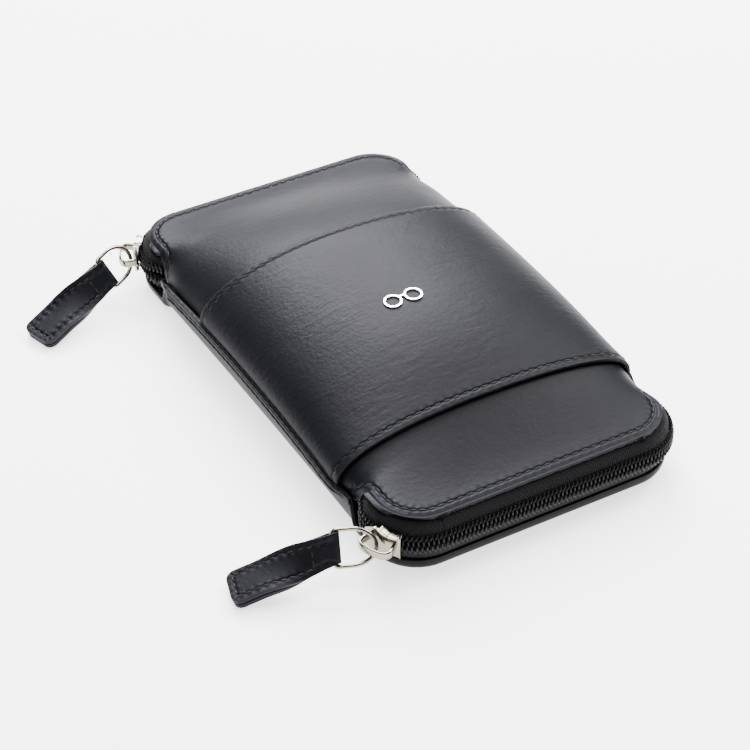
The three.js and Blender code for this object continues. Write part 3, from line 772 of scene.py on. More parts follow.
@dataclass(frozen=True)
class MouthPath:
    """The line round one end that its zip follows, from the right side to the left one."""

    form: CaseForm
    end: End
    start: float = 61.8
    sweep: float = 3.0

    def lengths(self, out: float) -> tuple[float, float, float]:
        """Lengths of a side run, a corner and the end, at a distance outside the leather's edge."""
        side = self.form.half_length - self.form.corner - self.start
        turn = (self.form.corner + out) * math.pi / 2
        return side, turn, 2 * (self.form.half_width - self.form.corner)

    def total(self, out: float) -> float:
        """The whole path's length."""
        side, turn, end = self.lengths(out)
        return 2 * side + 2 * turn + end

    def at(self, distance: float, out: float) -> tuple[Vector, Vector]:
        """The leather edge's point and the way out from it, at a distance along the path."""
        side, turn, end = self.lengths(out)
        x, y = self.form.half_width, self.start
        mirrored = distance > side + turn + end / 2
        run = self.total(out) - distance if mirrored else distance
        inner_x, inner_y = x - self.form.corner, self.form.half_length - self.form.corner
        if run <= side:
            point, away = Vector((x, y + run, 0)), Vector((1, 0, 0))
        elif run <= side + turn:
            angle = (run - side) / turn * math.pi / 2
            away = Vector((math.cos(angle), math.sin(angle), 0))
            point = Vector((inner_x, inner_y, 0)) + away * self.form.corner
        else:
            point = Vector((inner_x - (run - side - turn), self.form.half_length, 0))
            away = Vector((0, 1, 0))
        flip = Vector((-1 if mirrored else 1, self.end.value, 1))
        return point * flip, away * flip

    def place(self, distance: float, measured: float, out: float, z: float) -> Vector:
        """A point beside the path, turned in at its two tails."""
        point, away = self.at(distance, measured)
        tail = self.sweep * (1 - smooth(abs(point.y), self.start, self.form.mouth_y + 3))
        place = point + away * (out - tail)
        place.z = z
        return place


# ---- Sub-assemblies --------------------------------------------------------------------


@dataclass
class Thread:
    """Stitches: short dashes of thread, sunk a little into what they hold."""

    finish: bpy.types.Material
    pitch: float = 3.2
    dash: float = 2.25
    width: float = 0.5
    height: float = 0.42
    sink: float = 0.02

    def sew(self, name: str, places: Sequence[Place]) -> Piece:
        """One row of stitches at the given centres, directions and upward normals."""
        frames = [
            frame_at(centre - up.normalized() * self.sink, along, up) for centre, along, up in places
        ]
        piece = copies(name, bead(self.dash, self.width, self.height), frames)
        dress(piece, self.finish)
        return piece

    def follow(
        self, piece: Piece, values: np.ndarray, inset: float, span: tuple[float, float]
    ) -> list[Place]:
        """Stitch places on a surface at a distance from its edge.

        Args:
            piece: The surface.
            values: Each point's place along the edge and distance from it.
            inset: The stitch line's distance from the edge.
            span: Where along the edge the row starts and ends.

        Returns:
            Each stitch's centre, direction and normal.
        """
        places = points_of(piece)
        found = []
        for k in range(math.ceil(span[0] / self.pitch), int(span[1] / self.pitch) + 1):
            goal = np.array([(k + 0.5) * self.pitch, inset])
            off = values - goal
            near = np.argsort((off ** 2).sum(axis=1))[:9]
            terms = np.column_stack([np.ones(len(near)), off[near]])
            fit, *_ = np.linalg.lstsq(terms, places[near], rcond=None)
            if (off[near[0]] ** 2).sum() > 1.5:
                continue
            normal = Vector(np.cross(fit[1], fit[2]))
            if normal.z < 0:
                normal.negate()
            found.append((Vector(fit[0]), Vector(fit[1]), normal))
        return found


@dataclass
class TopCover:
    """The end panels, the band across them, and what lies under them."""

    form: CaseForm
    finishes: Finishes
    thread: Thread
    leather: float = 1.1
    band_front: float = -55.0
    band_back: float = 31.5
    band_outer: float = -1.4
    band_lift: float = 1.5
    band_flare: float = 0.55
    edge_stitch: float = 2.7
    edge_roll: float = 0.5
    band_stitch: float = 2.3
    pad_depth: float = 1.4
    lining_depth: float = 2.7
    lining: float = 0.7
    lip_lining_reach: float = 80.4
    hinge_start: float = 64.0
    hinge_end: float = 70.0

    def bend(self, piece: Piece, end: End) -> None:
        """Bakes a piece's place into its points."""
        f"{end.word}_lip"
        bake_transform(piece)

    def row_y(self, share: float, rows: int, end: End) -> float:
        """The place of a row, with rows closer together round the corner."""
        straight, turns = self.form.half_length - self.form.corner, 26
        row = share * rows
        if row <= rows - turns:
            return end.value * straight * row / (rows - turns)
        angle = (row - rows + turns) / turns * math.pi / 2
        return end.value * (straight + self.form.corner * math.sin(angle))

    def panel(self, end: End) -> None:
        """One end's leather, from under the band to its zip, with its row of stitches."""
        rows, columns = 112, 150
        piece = skin(
            f"{end.word}_panel",
            columns,
            rows,
            lambda u, v: self.form.top(2 * u - 1, self.row_y(v, rows, end)),
            Vector((0, 0, -60)),
        )
        side = [self.row_y(v / rows, rows, end) for v in range(rows + 1)]
        side = [y for y in side if abs(y) > self.form.seam_end]
        edge = [self.form.top(-1, y) for y in side]
        edge += [self.form.top(2 * k / columns - 1, side[-1]) for k in range(1, columns)]
        edge += [self.form.top(1, y) for y in reversed(side)]
        values = along_edge(piece, edge)
        length = length_of(edge)
        turn_edge(piece, values, self.edge_stitch, self.thread.pitch, self.edge_roll, flat=True)
        places = self.thread.follow(piece, values, self.edge_stitch, (3.0, length - 5.0))
        thicken(piece, self.leather, LEATHER_ROUND)
        shade(piece)
        dress(piece, self.finishes.panel)
        self.bend(piece, end)
        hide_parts("top_leather", f"{end.word}_lip_leather")
        stitches = self.thread.sew(f"{end.word}_panel_stitches", places)
        self.bend(stitches, end)
        LOG.info("%s panel and %d stitches", end.word, len(places))

    def band_point(self, u: float, v: float) -> Vector:
        """A point of the band's outer face. Its front edge stands a little off the panel."""
        y = lerp(self.band_front, self.band_back, v)
        flare = self.band_flare * math.exp(-(y - self.band_front) / 5)
        flare += 0.25 * math.exp(-(self.band_back - y) / 4)
        return self.form.top(2 * u - 1, y, self.band_outer - flare, self.band_lift)

    def band(self) -> None:
        """The band across the top, with a row of stitches along each edge."""
        columns, rows = 170, 96
        piece = skin("band", columns, rows, self.band_point, Vector((0, 0, -60)))
        front = [self.band_point(k / columns, 0) for k in range(columns + 1)]
        back = [self.band_point(k / columns, 1) for k in range(columns + 1)]
        near = along_edge(piece, front)
        far = along_edge(piece, back)
        values = np.where((near[:, 1] < far[:, 1])[:, None], near, far)
        write_uv(piece, values)
        length = length_of(front)
        turn_edge(piece, values, self.band_stitch, self.thread.pitch, 0.25)
        places = self.thread.follow(piece, near, self.band_stitch, (1.0, length - 4.0))
        places += self.thread.follow(piece, far, self.band_stitch, (1.0, length - 4.0))
        thicken(piece, self.leather, LEATHER_ROUND)
        shade(piece)
        settle(piece, self.finishes.band, "black_leather", "case", "band_leather")
        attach(self.thread.sew("band_stitches", places), "case")
        LOG.info("band and %d stitches", len(places))

    def soft_layers(self) -> None:
        """The pad and the lining under the top, and the lining of each lip."""
        reach = self.form.seam_end
        pad = skin(
            "top_padding",
            48,
            48,
            lambda u, v: self.form.top(2 * u - 1, lerp(-reach, reach, v), self.pad_depth + 0.15),
            Vector((0, 0, -60)),
        )
        thicken(pad, 0.8, 0.25)
        shade(pad)
        settle(pad, self.finishes.foam, "foam_pad", "case", "top_pad")
        self.lined("top_lining_cloth", -reach, reach, self.lining_depth, "case", "top_lining")
        for end in End:
            inner = self.form.mouth_y + self.form.gap / 2
            first, last = sorted((end.value * inner, end.value * self.lip_lining_reach))
            lip = f"{end.word}_lip"
            self.lined(
                f"{lip}_lining_cloth", first, last, self.pad_depth, lip, f"{lip}_lining", f"{end.word}_panel"
            )

    def lined(
        self, name: str, first: float, last: float, depth: float, body: str, node: str,
        rests_on: str = "top_padding",
    ) -> None:
        """One sheet of lining under the top, from one place to another along it."""
        piece = skin(
            name,
            60,
            max(14, int((last - first) / 2.5)),
            lambda u, v: self.form.top(2 * u - 1, lerp(first, last, v), depth),
            Vector((0, 0, -60)),
        )
        widest = max(
            length_of([self.form.top(k / 30 - 1, y, depth) for k in range(61)])
            for y in (first, (first + last) / 2, last)
        )
        run = length_of([self.form.top(0, lerp(first, last, k / 40), depth) for k in range(41)])
        thicken(piece, self.lining, CLOTH_ROUND)
        shade(piece)
        settle(piece, self.finishes.lining, "lining_fabric", body, node)

    def build(self) -> None:
        """Builds the whole top."""
        for end in End:
            self.panel(end)
        self.band()
        self.soft_layers()


@dataclass
class BottomTray:
    """The bottom leather with its lining, the divider above it, and the seams at its sides."""

    form: CaseForm
    finishes: Finishes
    thread: Thread
    leather: float = 1.1
    curve_side: float = 9.0
    curve_end: float = 6.0
    lining_side: float = 5.0
    lining_end: float = 4.0
    lining_floor: float = 2.7
    lining: float = 0.7
    lining_back: float = 4.0
    divider: float = 1.6
    wall: float = 0.7
    welt_width: float = 2.6
    welt_height: float = 2.4

    def bowl(self, name: str, inset: float, side: float, end: float, back: float, drop: float) -> Piece:
        """A rounded tray face: its wall runs down into a flat floor.

        Args:
            name: The piece's name.
            inset: How far it lies inside the tray's outer face, and its floor's height.
            side: How far its curve reaches in from each long side.
            end: How far it reaches in from each end.
            back: How much further in its rim lies.
            drop: How far its rim lies below the tray's.

        Returns:
            The face, turned outwards.
        """
        edge = inset + back
        rim = self.form.outline(edge, edge)
        foot = self.form.outline(edge + side, edge + end)
        count, walls, floors = len(rim), 14, 6

        def place(u: float, v: float) -> Vector:
            """A point of the tray, round it by u and down it by v."""
            i = round(u * count) % count
            row = v * (walls + floors)
            if row > walls:
                share = 1 - (row - walls) / floors
                return Vector((foot[i].x * share, foot[i].y * share, inset))
            angle = row / walls * math.pi / 2
            top = self.form.tray_rim(rim[i].y) - drop
            plan = foot[i].lerp(rim[i], max(0.0, math.cos(angle)) ** self.wall)
            return Vector((plan.x, plan.y, top - (top - inset) * math.sin(angle) ** self.wall))

        piece = skin(name, count, walls + floors, place)
        face_away(piece, Vector((0, 0, 30)))
        return piece

    def bottom(self) -> None:
        """The bottom leather."""
        piece = self.bowl("bottom_shell", 0.0, self.curve_side, self.curve_end, 0.0, 0.0)
        rim = self.form.outline(0, 0)
        edge = [Vector((p.x, p.y, self.form.tray_rim(p.y))) for p in rim + rim[:1]]
        along_edge(piece, edge)
        thicken(piece, self.leather, LEATHER_ROUND)
        shade(piece)
        settle(piece, self.finishes.bottom, "black_leather", "case", "bottom_leather")

    def lined(self) -> None:
        """The lining of the bottom."""
        piece = self.bowl(
            "bottom_lining_cloth", self.lining_floor, self.lining_side, self.lining_end, self.lining_back, 0.6
        )
        thicken(piece, self.lining, CLOTH_ROUND)
        shade(piece)
        settle(piece, self.finishes.lining, "lining_fabric", "case", "bottom_lining")

    def divider_point(self, u: float, v: float) -> Vector:
        """A point of the divider's middle: low at the front, up to the roof at the back."""
        stack, gap = 3.4, self.form.gap
        low = stack + gap
        low_half = self.form.seam_half - stack - self.lining_back - self.lining_side - gap
        high_half = self.form.seam_half - stack - self.lining_back - 4 * gap
        front = stack + self.lining_back + self.lining_end - self.form.half_length - self.form.lower_flare
        y = lerp(front, self.form.seam_end, v)
        rise = smooth(y, front + 9, self.form.seam_end)
        half = lerp(low_half, high_half, smooth(rise, 0.1, 0.5))
        x = (2 * u - 1) * half
        inner = self.form.seam_half - stack
        power = lerp(self.form.side_fullness, self.form.end_fullness, (y / self.form.half_length) ** 2)
        spread = max(0.0, 1 - (abs(x) / inner) ** power) ** (1 / power)
        rim = self.form.seam(y)
        roof = rim + (self.form.crown(y) - stack - rim) * spread - 2 * gap - self.divider
        return Vector((x, y, lerp(low, max(low, roof), rise) + self.divider / 2))

    def panel(self) -> None:
        """The padded divider, thin at its bound edges and quilted along its length."""
        piece = skin("divider_pad", 56, 84, self.divider_point, Vector((0, 0, -300)))
        edge = [self.divider_point(u, 0) for u in (0, 0.25, 0.5, 0.75, 1)]
        edge += [self.divider_point(1, k / 30) for k in range(1, 31)]
        edge += [self.divider_point(u, 1) for u in (0.75, 0.5, 0.25, 0)]
        edge += [self.divider_point(0, 1 - k / 30) for k in range(1, 31)]
        along_edge(piece, edge)
        thicken(piece, 1.3, 0.4, 0)
        shade(piece)
        settle(piece, self.finishes.lining, "lining_fabric", "case", "divider_panel")

    def welt(self, side: int) -> None:
        """The sewn flange along one side, two edges of leather pressed together."""
        inner = self.form.seam_half + 0.1
        reach = self.form.seam_end
        profile = []
        for k in range(28):
            angle = k / 28 * 2 * math.pi
            out = 0.5 + 0.5 * math.copysign(abs(math.cos(angle)) ** 0.45, math.cos(angle))
            up = math.copysign(abs(math.sin(angle)) ** 0.6, math.sin(angle))
            notch = 0.28 * math.exp(-((out - 1) / 0.25) ** 2) * math.exp(-(up / 0.3) ** 2)
            profile.append((out - notch * 0.5, up))

        def place(u: float, v: float) -> Vector:
            """A point of the flange: round its section by u, along it by v."""
            y = lerp(-reach - 1, reach + 1, v)
            out, up = profile[round(u * 28) % 28]
            taper = 1 - 0.75 * smooth(abs(y), reach - 9, reach + 1)
            wave = 0.12 * math.sin(y * 0.9) * smooth(abs(y), 20, 60)
            x = inner + (self.welt_width + 0.2 + wave) * taper * out
            height = self.welt_height / 2 * up * (0.75 + 0.25 * taper)
            return Vector((side * x, y, self.form.seam(y) + height))

        word = "left" if side < 0 else "right"
        piece = skin(f"seam_{word}", 28, 110, place)
        fill_ends(piece)
        rim = side * (inner + self.welt_width)
        edge = [Vector((rim, y, self.form.seam(y) + 1)) for y in range(-60, 61, 4)]
        along_edge(piece, edge)
        shade(piece, 60)
        settle(piece, self.finishes.welt, "black_leather", "case", f"side_welt_{word}")
        places = []
        for k in range(int(-52 / self.thread.pitch), int(52 / self.thread.pitch) + 1):
            y = k * self.thread.pitch
            centre = Vector((side * (inner + 1.2), y, self.form.seam(y) + self.welt_height / 2 + 0.02))
            along = Vector((0, 1, (self.form.seam(y + 1) - self.form.seam(y - 1)) / 2))
            places.append((centre, along, Vector((0, 0, 1))))
        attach(self.thread.sew(f"seam_{word}_stitches", places), "case")

    def build(self) -> None:
        """Builds the whole bottom."""
        self.bottom()
        self.lined()
        self.panel()
        for side in (-1, 1):
            self.welt(side)
        dress(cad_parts["bottom_board"], self.finishes.board)
        dress(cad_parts["foil_mark"], self.finishes.foil)
        LOG.info("bottom, divider and side seams")


@dataclass
class Zip:
    """One end's zip: its tapes and its coil."""

    form: CaseForm
    finishes: Finishes
    cover: TopCover
    end: End
    coil_height: float = 12.0
    coil_out: float = 3.0
    pitch: float = 1.4
    tape: float = 0.6
    least_width: float = 0.0101
    upper: tuple[tuple[float, float], ...] = (
        (-3.2, 18.0), (-1.3, 18.0), (-0.2, 17.8), (0.8, 17.2),
        (1.5, 16.4), (1.85, 15.6), (2.05, 14.2), (2.05, 12.9),
    )
    lower: tuple[tuple[float, float], ...] = (
        (-0.8, 3.7), (-0.3, 4.2), (0.3, 5.0), (1.0, 6.2),
        (1.55, 7.4), (1.85, 8.4), (2.05, 9.8), (2.05, 11.1),
    )
    path: MouthPath = field(init=False)

    def __post_init__(self) -> None:
        """Lays out the path."""
        self.path = MouthPath(self.form, self.end)

    def corner_start(self, out: float) -> float:
        """Where the left corner starts, along the path measured out from the edge."""
        side, turn, end = self.path.lengths(out)
        return side + turn + end

    def strip(
        self, name: str, profile: Sequence[tuple[float, float]], start: float, end: float
    ) -> tuple[Piece, float]:
        """One length of tape, and its area before it has its thickness."""
        steps = max(10, int((end - start) / 1.2))

        def place(u: float, v: float) -> Vector:
            """A point of the tape: along it by u, across it by v."""
            row = v * (len(profile) - 1)
            i = min(int(row), len(profile) - 2)
            out, z = (lerp(profile[i][k], profile[i + 1][k], row - i) for k in (0, 1))
            return self.path.place(lerp(start, end, u), self.coil_out, out, z)

        piece = skin(name, steps, 3 * (len(profile) - 1), place, Vector((0, self.end.value * 60, 12)))
        area = sheet_area(piece)
        measure = np.array([[0.0, 0.0]] * len(piece.data.vertices))
        for i in range(len(measure)):
            column, row = i % (steps + 1), i // (steps + 1)
            measure[i] = (lerp(start, end, column / steps), row / 3)
        write_uv(piece, measure)
        thicken(piece, self.tape, 0.12, 0)
        shade(piece)
        dress(piece, self.finishes.tape)
        return piece, area

    def tapes(self) -> None:
        """The tape above the coil, which lifts with the lip, and the one below."""
        total = self.path.total(self.coil_out)
        corner = self.corner_start(self.coil_out)
        word = self.end.word
        lifted, area = self.strip(f"{word}_tape_above", self.upper, 0, corner + 0.44)
        self.cover.bend(lifted, self.end)
        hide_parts(f"{word}_tape_upper", f"{word}_tape_tail")
        rest, area = self.strip(f"{word}_tape_at_slider", self.upper, corner + 0.5, total)
        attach(rest, "case")
        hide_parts(f"{word}_tape_corner")
        below, area = self.strip(f"{word}_tape_below", self.lower, 0, total)
        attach(below, "case")
        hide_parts(f"{word}_tape_lower")

    def turns(
        self, start: float, end: float, side: int, part_from: float | None = None
    ) -> list[Matrix]:
        """Places of the coil's turns, two dashes for each: the outer bend and the inner one."""
        places = []
        for k in range(int((end - start) / self.pitch)):
            distance = start + (k + 0.5) * self.pitch
            spread = 0.0 if part_from is None else 1.3 * smooth(distance, part_from, end)
            for shift, height, out, slant in ((0.0, 2.1, 0.0, 0.55), (0.5, 0.95, 0.32, -0.12)):
                middle = distance + shift * self.pitch + (0.25 * self.pitch if side < 0 else 0.0)
                z = self.coil_height + side * (height + spread)
                here = self.path.place(middle, self.coil_out, self.coil_out + out, z)
                ahead = self.path.place(middle + 0.5, self.coil_out, self.coil_out + out, z)
                _, away = self.path.at(middle, self.coil_out)
                along = (ahead - here).normalized()
                rise = Vector((0, 0, side)) + along * slant * (-1)
                places.append(frame_at(here, rise, away))
        return places

    def coils(self) -> None:
        """The coil: upper turns that lift with the lip, and those that stay."""
        side, _, _ = self.path.lengths(self.coil_out)
        total = self.path.total(self.coil_out)
        corner = self.corner_start(self.coil_out)
        word = self.end.word
        first = side - 7.5
        last = total - 2.0
        opening = corner + 22.5
        rows = (
            ("coil_above", first, corner - 0.2, 1, None, (f"{word}_coil_upper",)),
            ("coil_at_slider", corner, last, 1, opening, (f"{word}_coil_corner",)),
            ("coil_below", first, corner, -1, None, (f"{word}_coil_lower",)),
            ("coil_below_at_slider", corner, last, -1, opening, (f"{word}_coil_lower",)),
        )
        for name, start, end, way, parted, nodes in rows:
            piece = copies(f"{word}_{name}", bead(2.3, 0.66, 1.2), self.turns(start, end, way, parted))
            dress(piece, self.finishes.coil)
            if name == "coil_above":
                self.cover.bend(piece, self.end)
            else:
                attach(piece, "case")
            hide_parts(*nodes)

    def build(self) -> None:
        """Builds the zip."""
        self.tapes()
        self.coils()
        LOG.info("%s zip", self.end.word)


@dataclass
class Slider:
    """A zip slider on its corner: two plates, folded edges, a post and a bridge."""

    form: CaseForm
    finishes: Finishes
    end: End
    turn: float = 26.0
    length: float = 11.0
    coil_height: float = 12.0
    coil_out: float = 3.0
    outer: float = 4.25
    inner: float = -0.15
    plate: float = 1.0
    bridge_under: float = 9.25
    bridge: float = 1.0
    bridge_length: float = 8.6
    bridge_width: float = 2.6
    outline: tuple[tuple[float, float], ...] = (
        (-5.5, 3.75), (-5.1, 3.35), (-4.0, 3.1), (-2.0, 3.2), (-0.4, 3.7), (0.9, 4.55), (1.9, 4.7),
        (2.8, 4.3), (3.8, 3.6), (4.7, 2.9), (5.2, 2.1), (5.5, 1.2),
    )

    def at(self, along: float, up: float, out: float) -> Vector:
        """A point on the slider, bent round the corner with the zip."""
        hand = -self.end.value
        bent = along / (self.form.corner + self.coil_out)
        angle = math.pi - hand * bent + hand * math.radians(self.turn)
        reach = self.form.corner + out
        return Vector((
            -self.form.half_width + self.form.corner + reach * math.cos(angle),
            self.end.value * (self.form.half_length - self.form.corner) + reach * math.sin(angle),
            self.coil_height + up,
        ))

    def half_height(self, along: float) -> float:
        """Half the outer plate's height at one place."""
        xs, ys = zip(*self.outline)
        return float(np.interp(along, xs, ys))

    def plate_piece(self, name: str, base: float, shrink: float, dome: float) -> Piece:
        """One plate, with its base at a distance out from the leather."""
        half = self.length / 2

        def place(u: float, v: float) -> Vector:
            """A point of the plate's outer face."""
            along = lerp(-half, half, u)
            share = 2 * v - 1
            up = share * (self.half_height(along) - shrink)
            return self.at(along, up, base + self.plate + dome * (1 - share * share))

        inside = self.at(0, 0, -20)
        piece = skin(name, 34, 16, place, inside)
        thicken(piece, self.plate, 0.26)
        return piece

    def fold(self, side: int) -> Piece:
        """The edge of the outer plate, folded in beside the coil."""

        def place(u: float, v: float) -> Vector:
            """A point of the folded edge."""
            along = lerp(-self.length / 2 + 0.1, 0.7, u)
            return self.at(along, side * (self.half_height(along) - 0.02), lerp(2.7, self.outer + 0.6, v))

        piece = skin(f"fold_{side}", 20, 6, place, self.at(-2, 0, 3))
        thicken(piece, 0.35, 0.12)
        return piece

    def post(self) -> Piece:
        """The post that joins the plates at the wide end."""

        def place(u: float, v: float) -> Vector:
            """A point on the post's rounded wall."""
            angle = 2 * math.pi * u
            return self.at(
                self.length / 2 - 1.4 + 1.1 * math.cos(angle),
                0.55 * math.sin(angle),
                lerp(self.inner - 0.3, self.outer + 0.3, v),
            )

        piece = skin("post", 20, 4, place)
        return piece

    def body(self) -> None:
        """The slider's body."""
        parts = [
            self.plate_piece("outer_plate", self.outer, 0.0, 0.25),
            self.plate_piece("inner_plate", self.inner - self.plate, 0.5, 0.0),
            self.fold(-1),
            self.fold(1),
            self.post(),
        ]
        clear_selection()
        for part in parts:
            part.select_set(True)
        bpy.context.view_layer.objects.active = parts[0]
        bpy.ops.object.join()
        piece = parts[0]
        piece.name = piece.data.name = f"{self.end.word}_slider"
        shade(piece, 50)
        body = f"{self.end.word}_slider"
        settle(piece, self.finishes.nickel, "polished_nickel", body, f"{body}_body")

    def arch(self) -> None:
        """The bridge: a flat strap that rises, runs over the plate and comes down again."""
        half = self.bridge_length / 2 - self.bridge / 2
        base = self.outer + self.plate + 0.1
        top = self.bridge_under + self.bridge / 2
        soft = 2.1
        route = [(-half, base), (-half, lerp(base, top - soft, 0.5)), (-half, top - soft)]
        for k in range(1, 9):
            angle = k / 8 * math.pi / 2
            route.append((-half + soft - soft * math.cos(angle), top - soft + soft * math.sin(angle)))
        route += [(lerp(-half + soft, half - soft, k / 6), top) for k in range(1, 6)]
        for k in range(0, 9):
            angle = k / 8 * math.pi / 2
            route.append((half - soft + soft * math.sin(angle), top - soft + soft * math.cos(angle)))
        route += [(half, lerp(base, top - soft, 0.5)), (half, base)]
        turns = 20
        last = len(route) - 1

        def place(u: float, v: float) -> Vector:
            """A point on the strap: round its section by u, along it by v."""
            i = round(v * last)
            before, after = route[max(0, i - 1)], route[min(last, i + 1)]
            step = math.dist(before, after)
            across = ((before[1] - after[1]) / step, (after[0] - before[0]) / step)
            angle = 2 * math.pi * u
            flat = math.copysign(abs(math.cos(angle)) ** 0.6, math.cos(angle))
            thick = math.copysign(abs(math.sin(angle)) ** 0.8, math.sin(angle)) * self.bridge / 2
            return self.at(
                route[i][0] + across[0] * thick, flat * self.bridge_width / 2, route[i][1] + across[1] * thick
            )

        piece = skin(f"{self.end.word}_bridge", turns, last, place)
        fill_ends(piece)
        shade(piece, 60)
        body = f"{self.end.word}_slider"
        settle(piece, self.finishes.nickel, "polished_nickel", body, f"{body}_bridge")

    def build(self) -> None:
        """Builds the slider."""
        self.body()
        self.arch()
        LOG.info("%s slider", self.end.word)


@dataclass
class Pull:
    """A slider's pull: a wire ring and a folded leather tab."""

    slider: Slider
    finishes: Finishes
    out: float
    drop: float
    ring_way: tuple[float, float, float]
    bar_way: tuple[float, float, float]
    tab_way: tuple[float, float]
    wire: float = 0.65
    ring_width: float = 10.5
    ring_arc: float = 7.0
    ring_arm: float = 5.1
    tab_length: float = 31.0
    tab_neck: float = 8.4
    tab_end: float = 12.5
    tab_corner: float = 2.8
    layer: float = 1.3
    layer_height: float = 0.85
    loop: float = 1.5
    low: float = 1.55
    stitch_inset: float = 1.9
    pitch: float = 2.6

    def __post_init__(self) -> None:
        """Lays out the ring's and the tab's directions."""
        self.along = Vector(self.ring_way).normalized()
        across = Vector(self.bar_way)
        self.across = (across - self.along * across.dot(self.along)).normalized()
        self.apex = self.slider.at(0, self.drop, self.out)
        self.bar = self.apex + self.along * (self.ring_arc + self.ring_arm)
        run = math.sqrt(self.tab_length ** 2 - (self.bar.z - self.low) ** 2)
        heading = Vector(self.tab_way).normalized()
        tip = Vector((self.bar.x + heading.x * run, self.bar.y + heading.y * run, self.low))
        self.down = (tip - self.bar).normalized()

    def ring(self) -> None:
        """The D-shaped wire ring."""
        half, length = self.ring_width / 2, self.ring_arc + self.ring_arm
        bend = 1.5
        route = [
            (self.ring_arc * (1 - math.cos(a)), half * math.sin(a))
            for a in (lerp(-math.pi / 2, math.pi / 2, k / 40) for k in range(41))
        ]
        for way in (1, -1):
            corner = [
                (length - bend + bend * math.sin(a), way * (half - bend + bend * math.cos(a)))
                for a in (k / 8 * math.pi / 2 for k in range(9))
            ]
            route += corner if way > 0 else corner[::-1]
        up = self.along.cross(self.across)
        count, turns = len(route), 16

        def place(u: float, v: float) -> Vector:
            """A point on the wire: round it by u, along it by v."""
            i = round(v * count) % count
            before, after = Vector(route[i - 1]), Vector(route[(i + 1) % count])
            step = (after - before).normalized()
            out = self.wire * math.cos(2 * math.pi * u)
            middle = Vector(route[i]) + Vector((step.y, -step.x)) * out
            rise = self.wire * math.sin(2 * math.pi * u)
            return self.apex + self.along * middle.x + self.across * middle.y + up * rise

        word = self.slider.end.word
        piece = skin(f"{word}_ring", turns, count, place)
        shade(piece, 60)
        settle(piece, self.finishes.nickel, "polished_nickel", f"{word}_ring", f"{word}_pull_ring")

    def on_tab(self, length: float, side: float, height: float) -> Vector:
        """A point on the tab, which turns from the ring's slant to lie flat."""
        flat = Vector((-self.down.y, self.down.x, 0)).normalized()
        if flat.dot(self.across) < 0:
            flat.negate()
        across = self.across.lerp(flat, smooth(length, 1, self.tab_length * 0.75)).normalized()
        up = self.down.cross(across).normalized()
        return self.bar + self.down * length + across * side + up * height

    def half_width(self, length: float) -> float:
        """Half the tab's width, rounded off at its free end."""
        half = lerp(self.tab_neck, self.tab_end, smooth(length, -7, 25)) / 2
        radius = self.tab_corner
        past = max(0.0, length - (self.tab_length - radius))
        return half - radius + math.sqrt(max(0.0, radius * radius - past * past))

    def tab(self) -> None:
        """The leather strip, folded over the ring's bar and sewn to itself."""
        taper, radius = 4.5, self.tab_corner
        lengths = [
            self.tab_length - radius * (1 - math.sin(k / 8 * math.pi / 2)) for k in range(8, -1, -1)
        ]
        lengths += [lerp(self.tab_length - radius, taper, k / 26) for k in range(1, 27)]
        route = [(length, self.layer_height) for length in lengths]
        route += [
            (taper * (1 - k / 6), lerp(self.layer_height, self.loop, smooth(k, 0, 6)))
            for k in range(1, 6)
        ]
        turns = [math.pi / 2 + k / 14 * math.pi for k in range(15)]
        arc = [(self.loop * math.cos(a), self.loop * math.sin(a)) for a in turns]
        route = route + arc + [(length, -height) for length, height in reversed(route)]
        last, columns = len(route) - 1, 24

        def place(u: float, v: float) -> Vector:
            """A point of the strip's middle: across it by u, along it by v."""
            length, height = route[round(v * last)]
            side = math.sin((u - 0.5) * math.pi) * 0.35 + (u - 0.5) * 1.3
            return self.on_tab(length, side * self.half_width(max(0, length)), height)

        piece = skin(f"{self.slider.end.word}_tab", columns, last, place, self.on_tab(12, 0, 0))
        self.tab_uv(piece)
        thicken(piece, self.layer, 0.3, 0)
        shade(piece, 50)
        word = self.slider.end.word
        settle(piece, self.finishes.tab, "black_leather", f"{word}_tab", f"{word}_pull_leather")
        dress(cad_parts[f"{word}_pull_core"], self.finishes.board)

    def tab_uv(self, piece: Piece) -> None:
        """Each point's distance along and from the strip's edge."""
        there = np.linspace(1, self.tab_length, 40)
        top, under = (
            along_edge(piece, [
                self.on_tab(k, side * self.half_width(k), way * self.layer_height)
                for side, steps in ((1, there), (-1, there[::-1]))
                for k in steps
            ])
            for way in (1, -1)
        )
        write_uv(piece, np.where((top[:, 1] < under[:, 1])[:, None], top, under))

    def stitch_line(self) -> list[tuple[float, float]]:
        """The sewn rectangle on the tab, as places along and across it."""
        first, last = 6.0, self.tab_length - self.stitch_inset
        side = [
            (length, self.half_width(min(length, self.tab_length - 3)) - self.stitch_inset)
            for length in np.linspace(first, last, 24)
        ]
        return side + [(length, -width) for length, width in reversed(side)] + side[:1]

    def stitches(self) -> None:
        """Thread round the rectangle, on both faces."""
        line = self.stitch_line()
        thread = Thread(self.finishes.thread, pitch=self.pitch, dash=1.85, width=0.5, height=0.42)
        face = self.layer_height + self.layer / 2
        arc = [0.0]
        for a, b in zip(line, line[1:]):
            arc.append(arc[-1] + math.dist(a, b))
        count = round(arc[-1] / self.pitch)
        places = []
        for way in (1, -1):
            for k in range(count):
                middle = (k + 0.5) * arc[-1] / count
                lengths, sides = (
                    [np.interp(middle + d, arc, [p[axis] for p in line]) for d in (-0.3, 0.3)]
                    for axis in (0, 1)
                )
                a, b = (self.on_tab(float(p), float(q), way * face) for p, q in zip(lengths, sides))
                up = self.on_tab(float(lengths[0]), 0, way) - self.on_tab(float(lengths[0]), 0, 0)
                places.append(((a + b) / 2, b - a, up))
        word = self.slider.end.word
        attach(thread.sew(f"{word}_tab_stitches", places), f"{word}_tab")

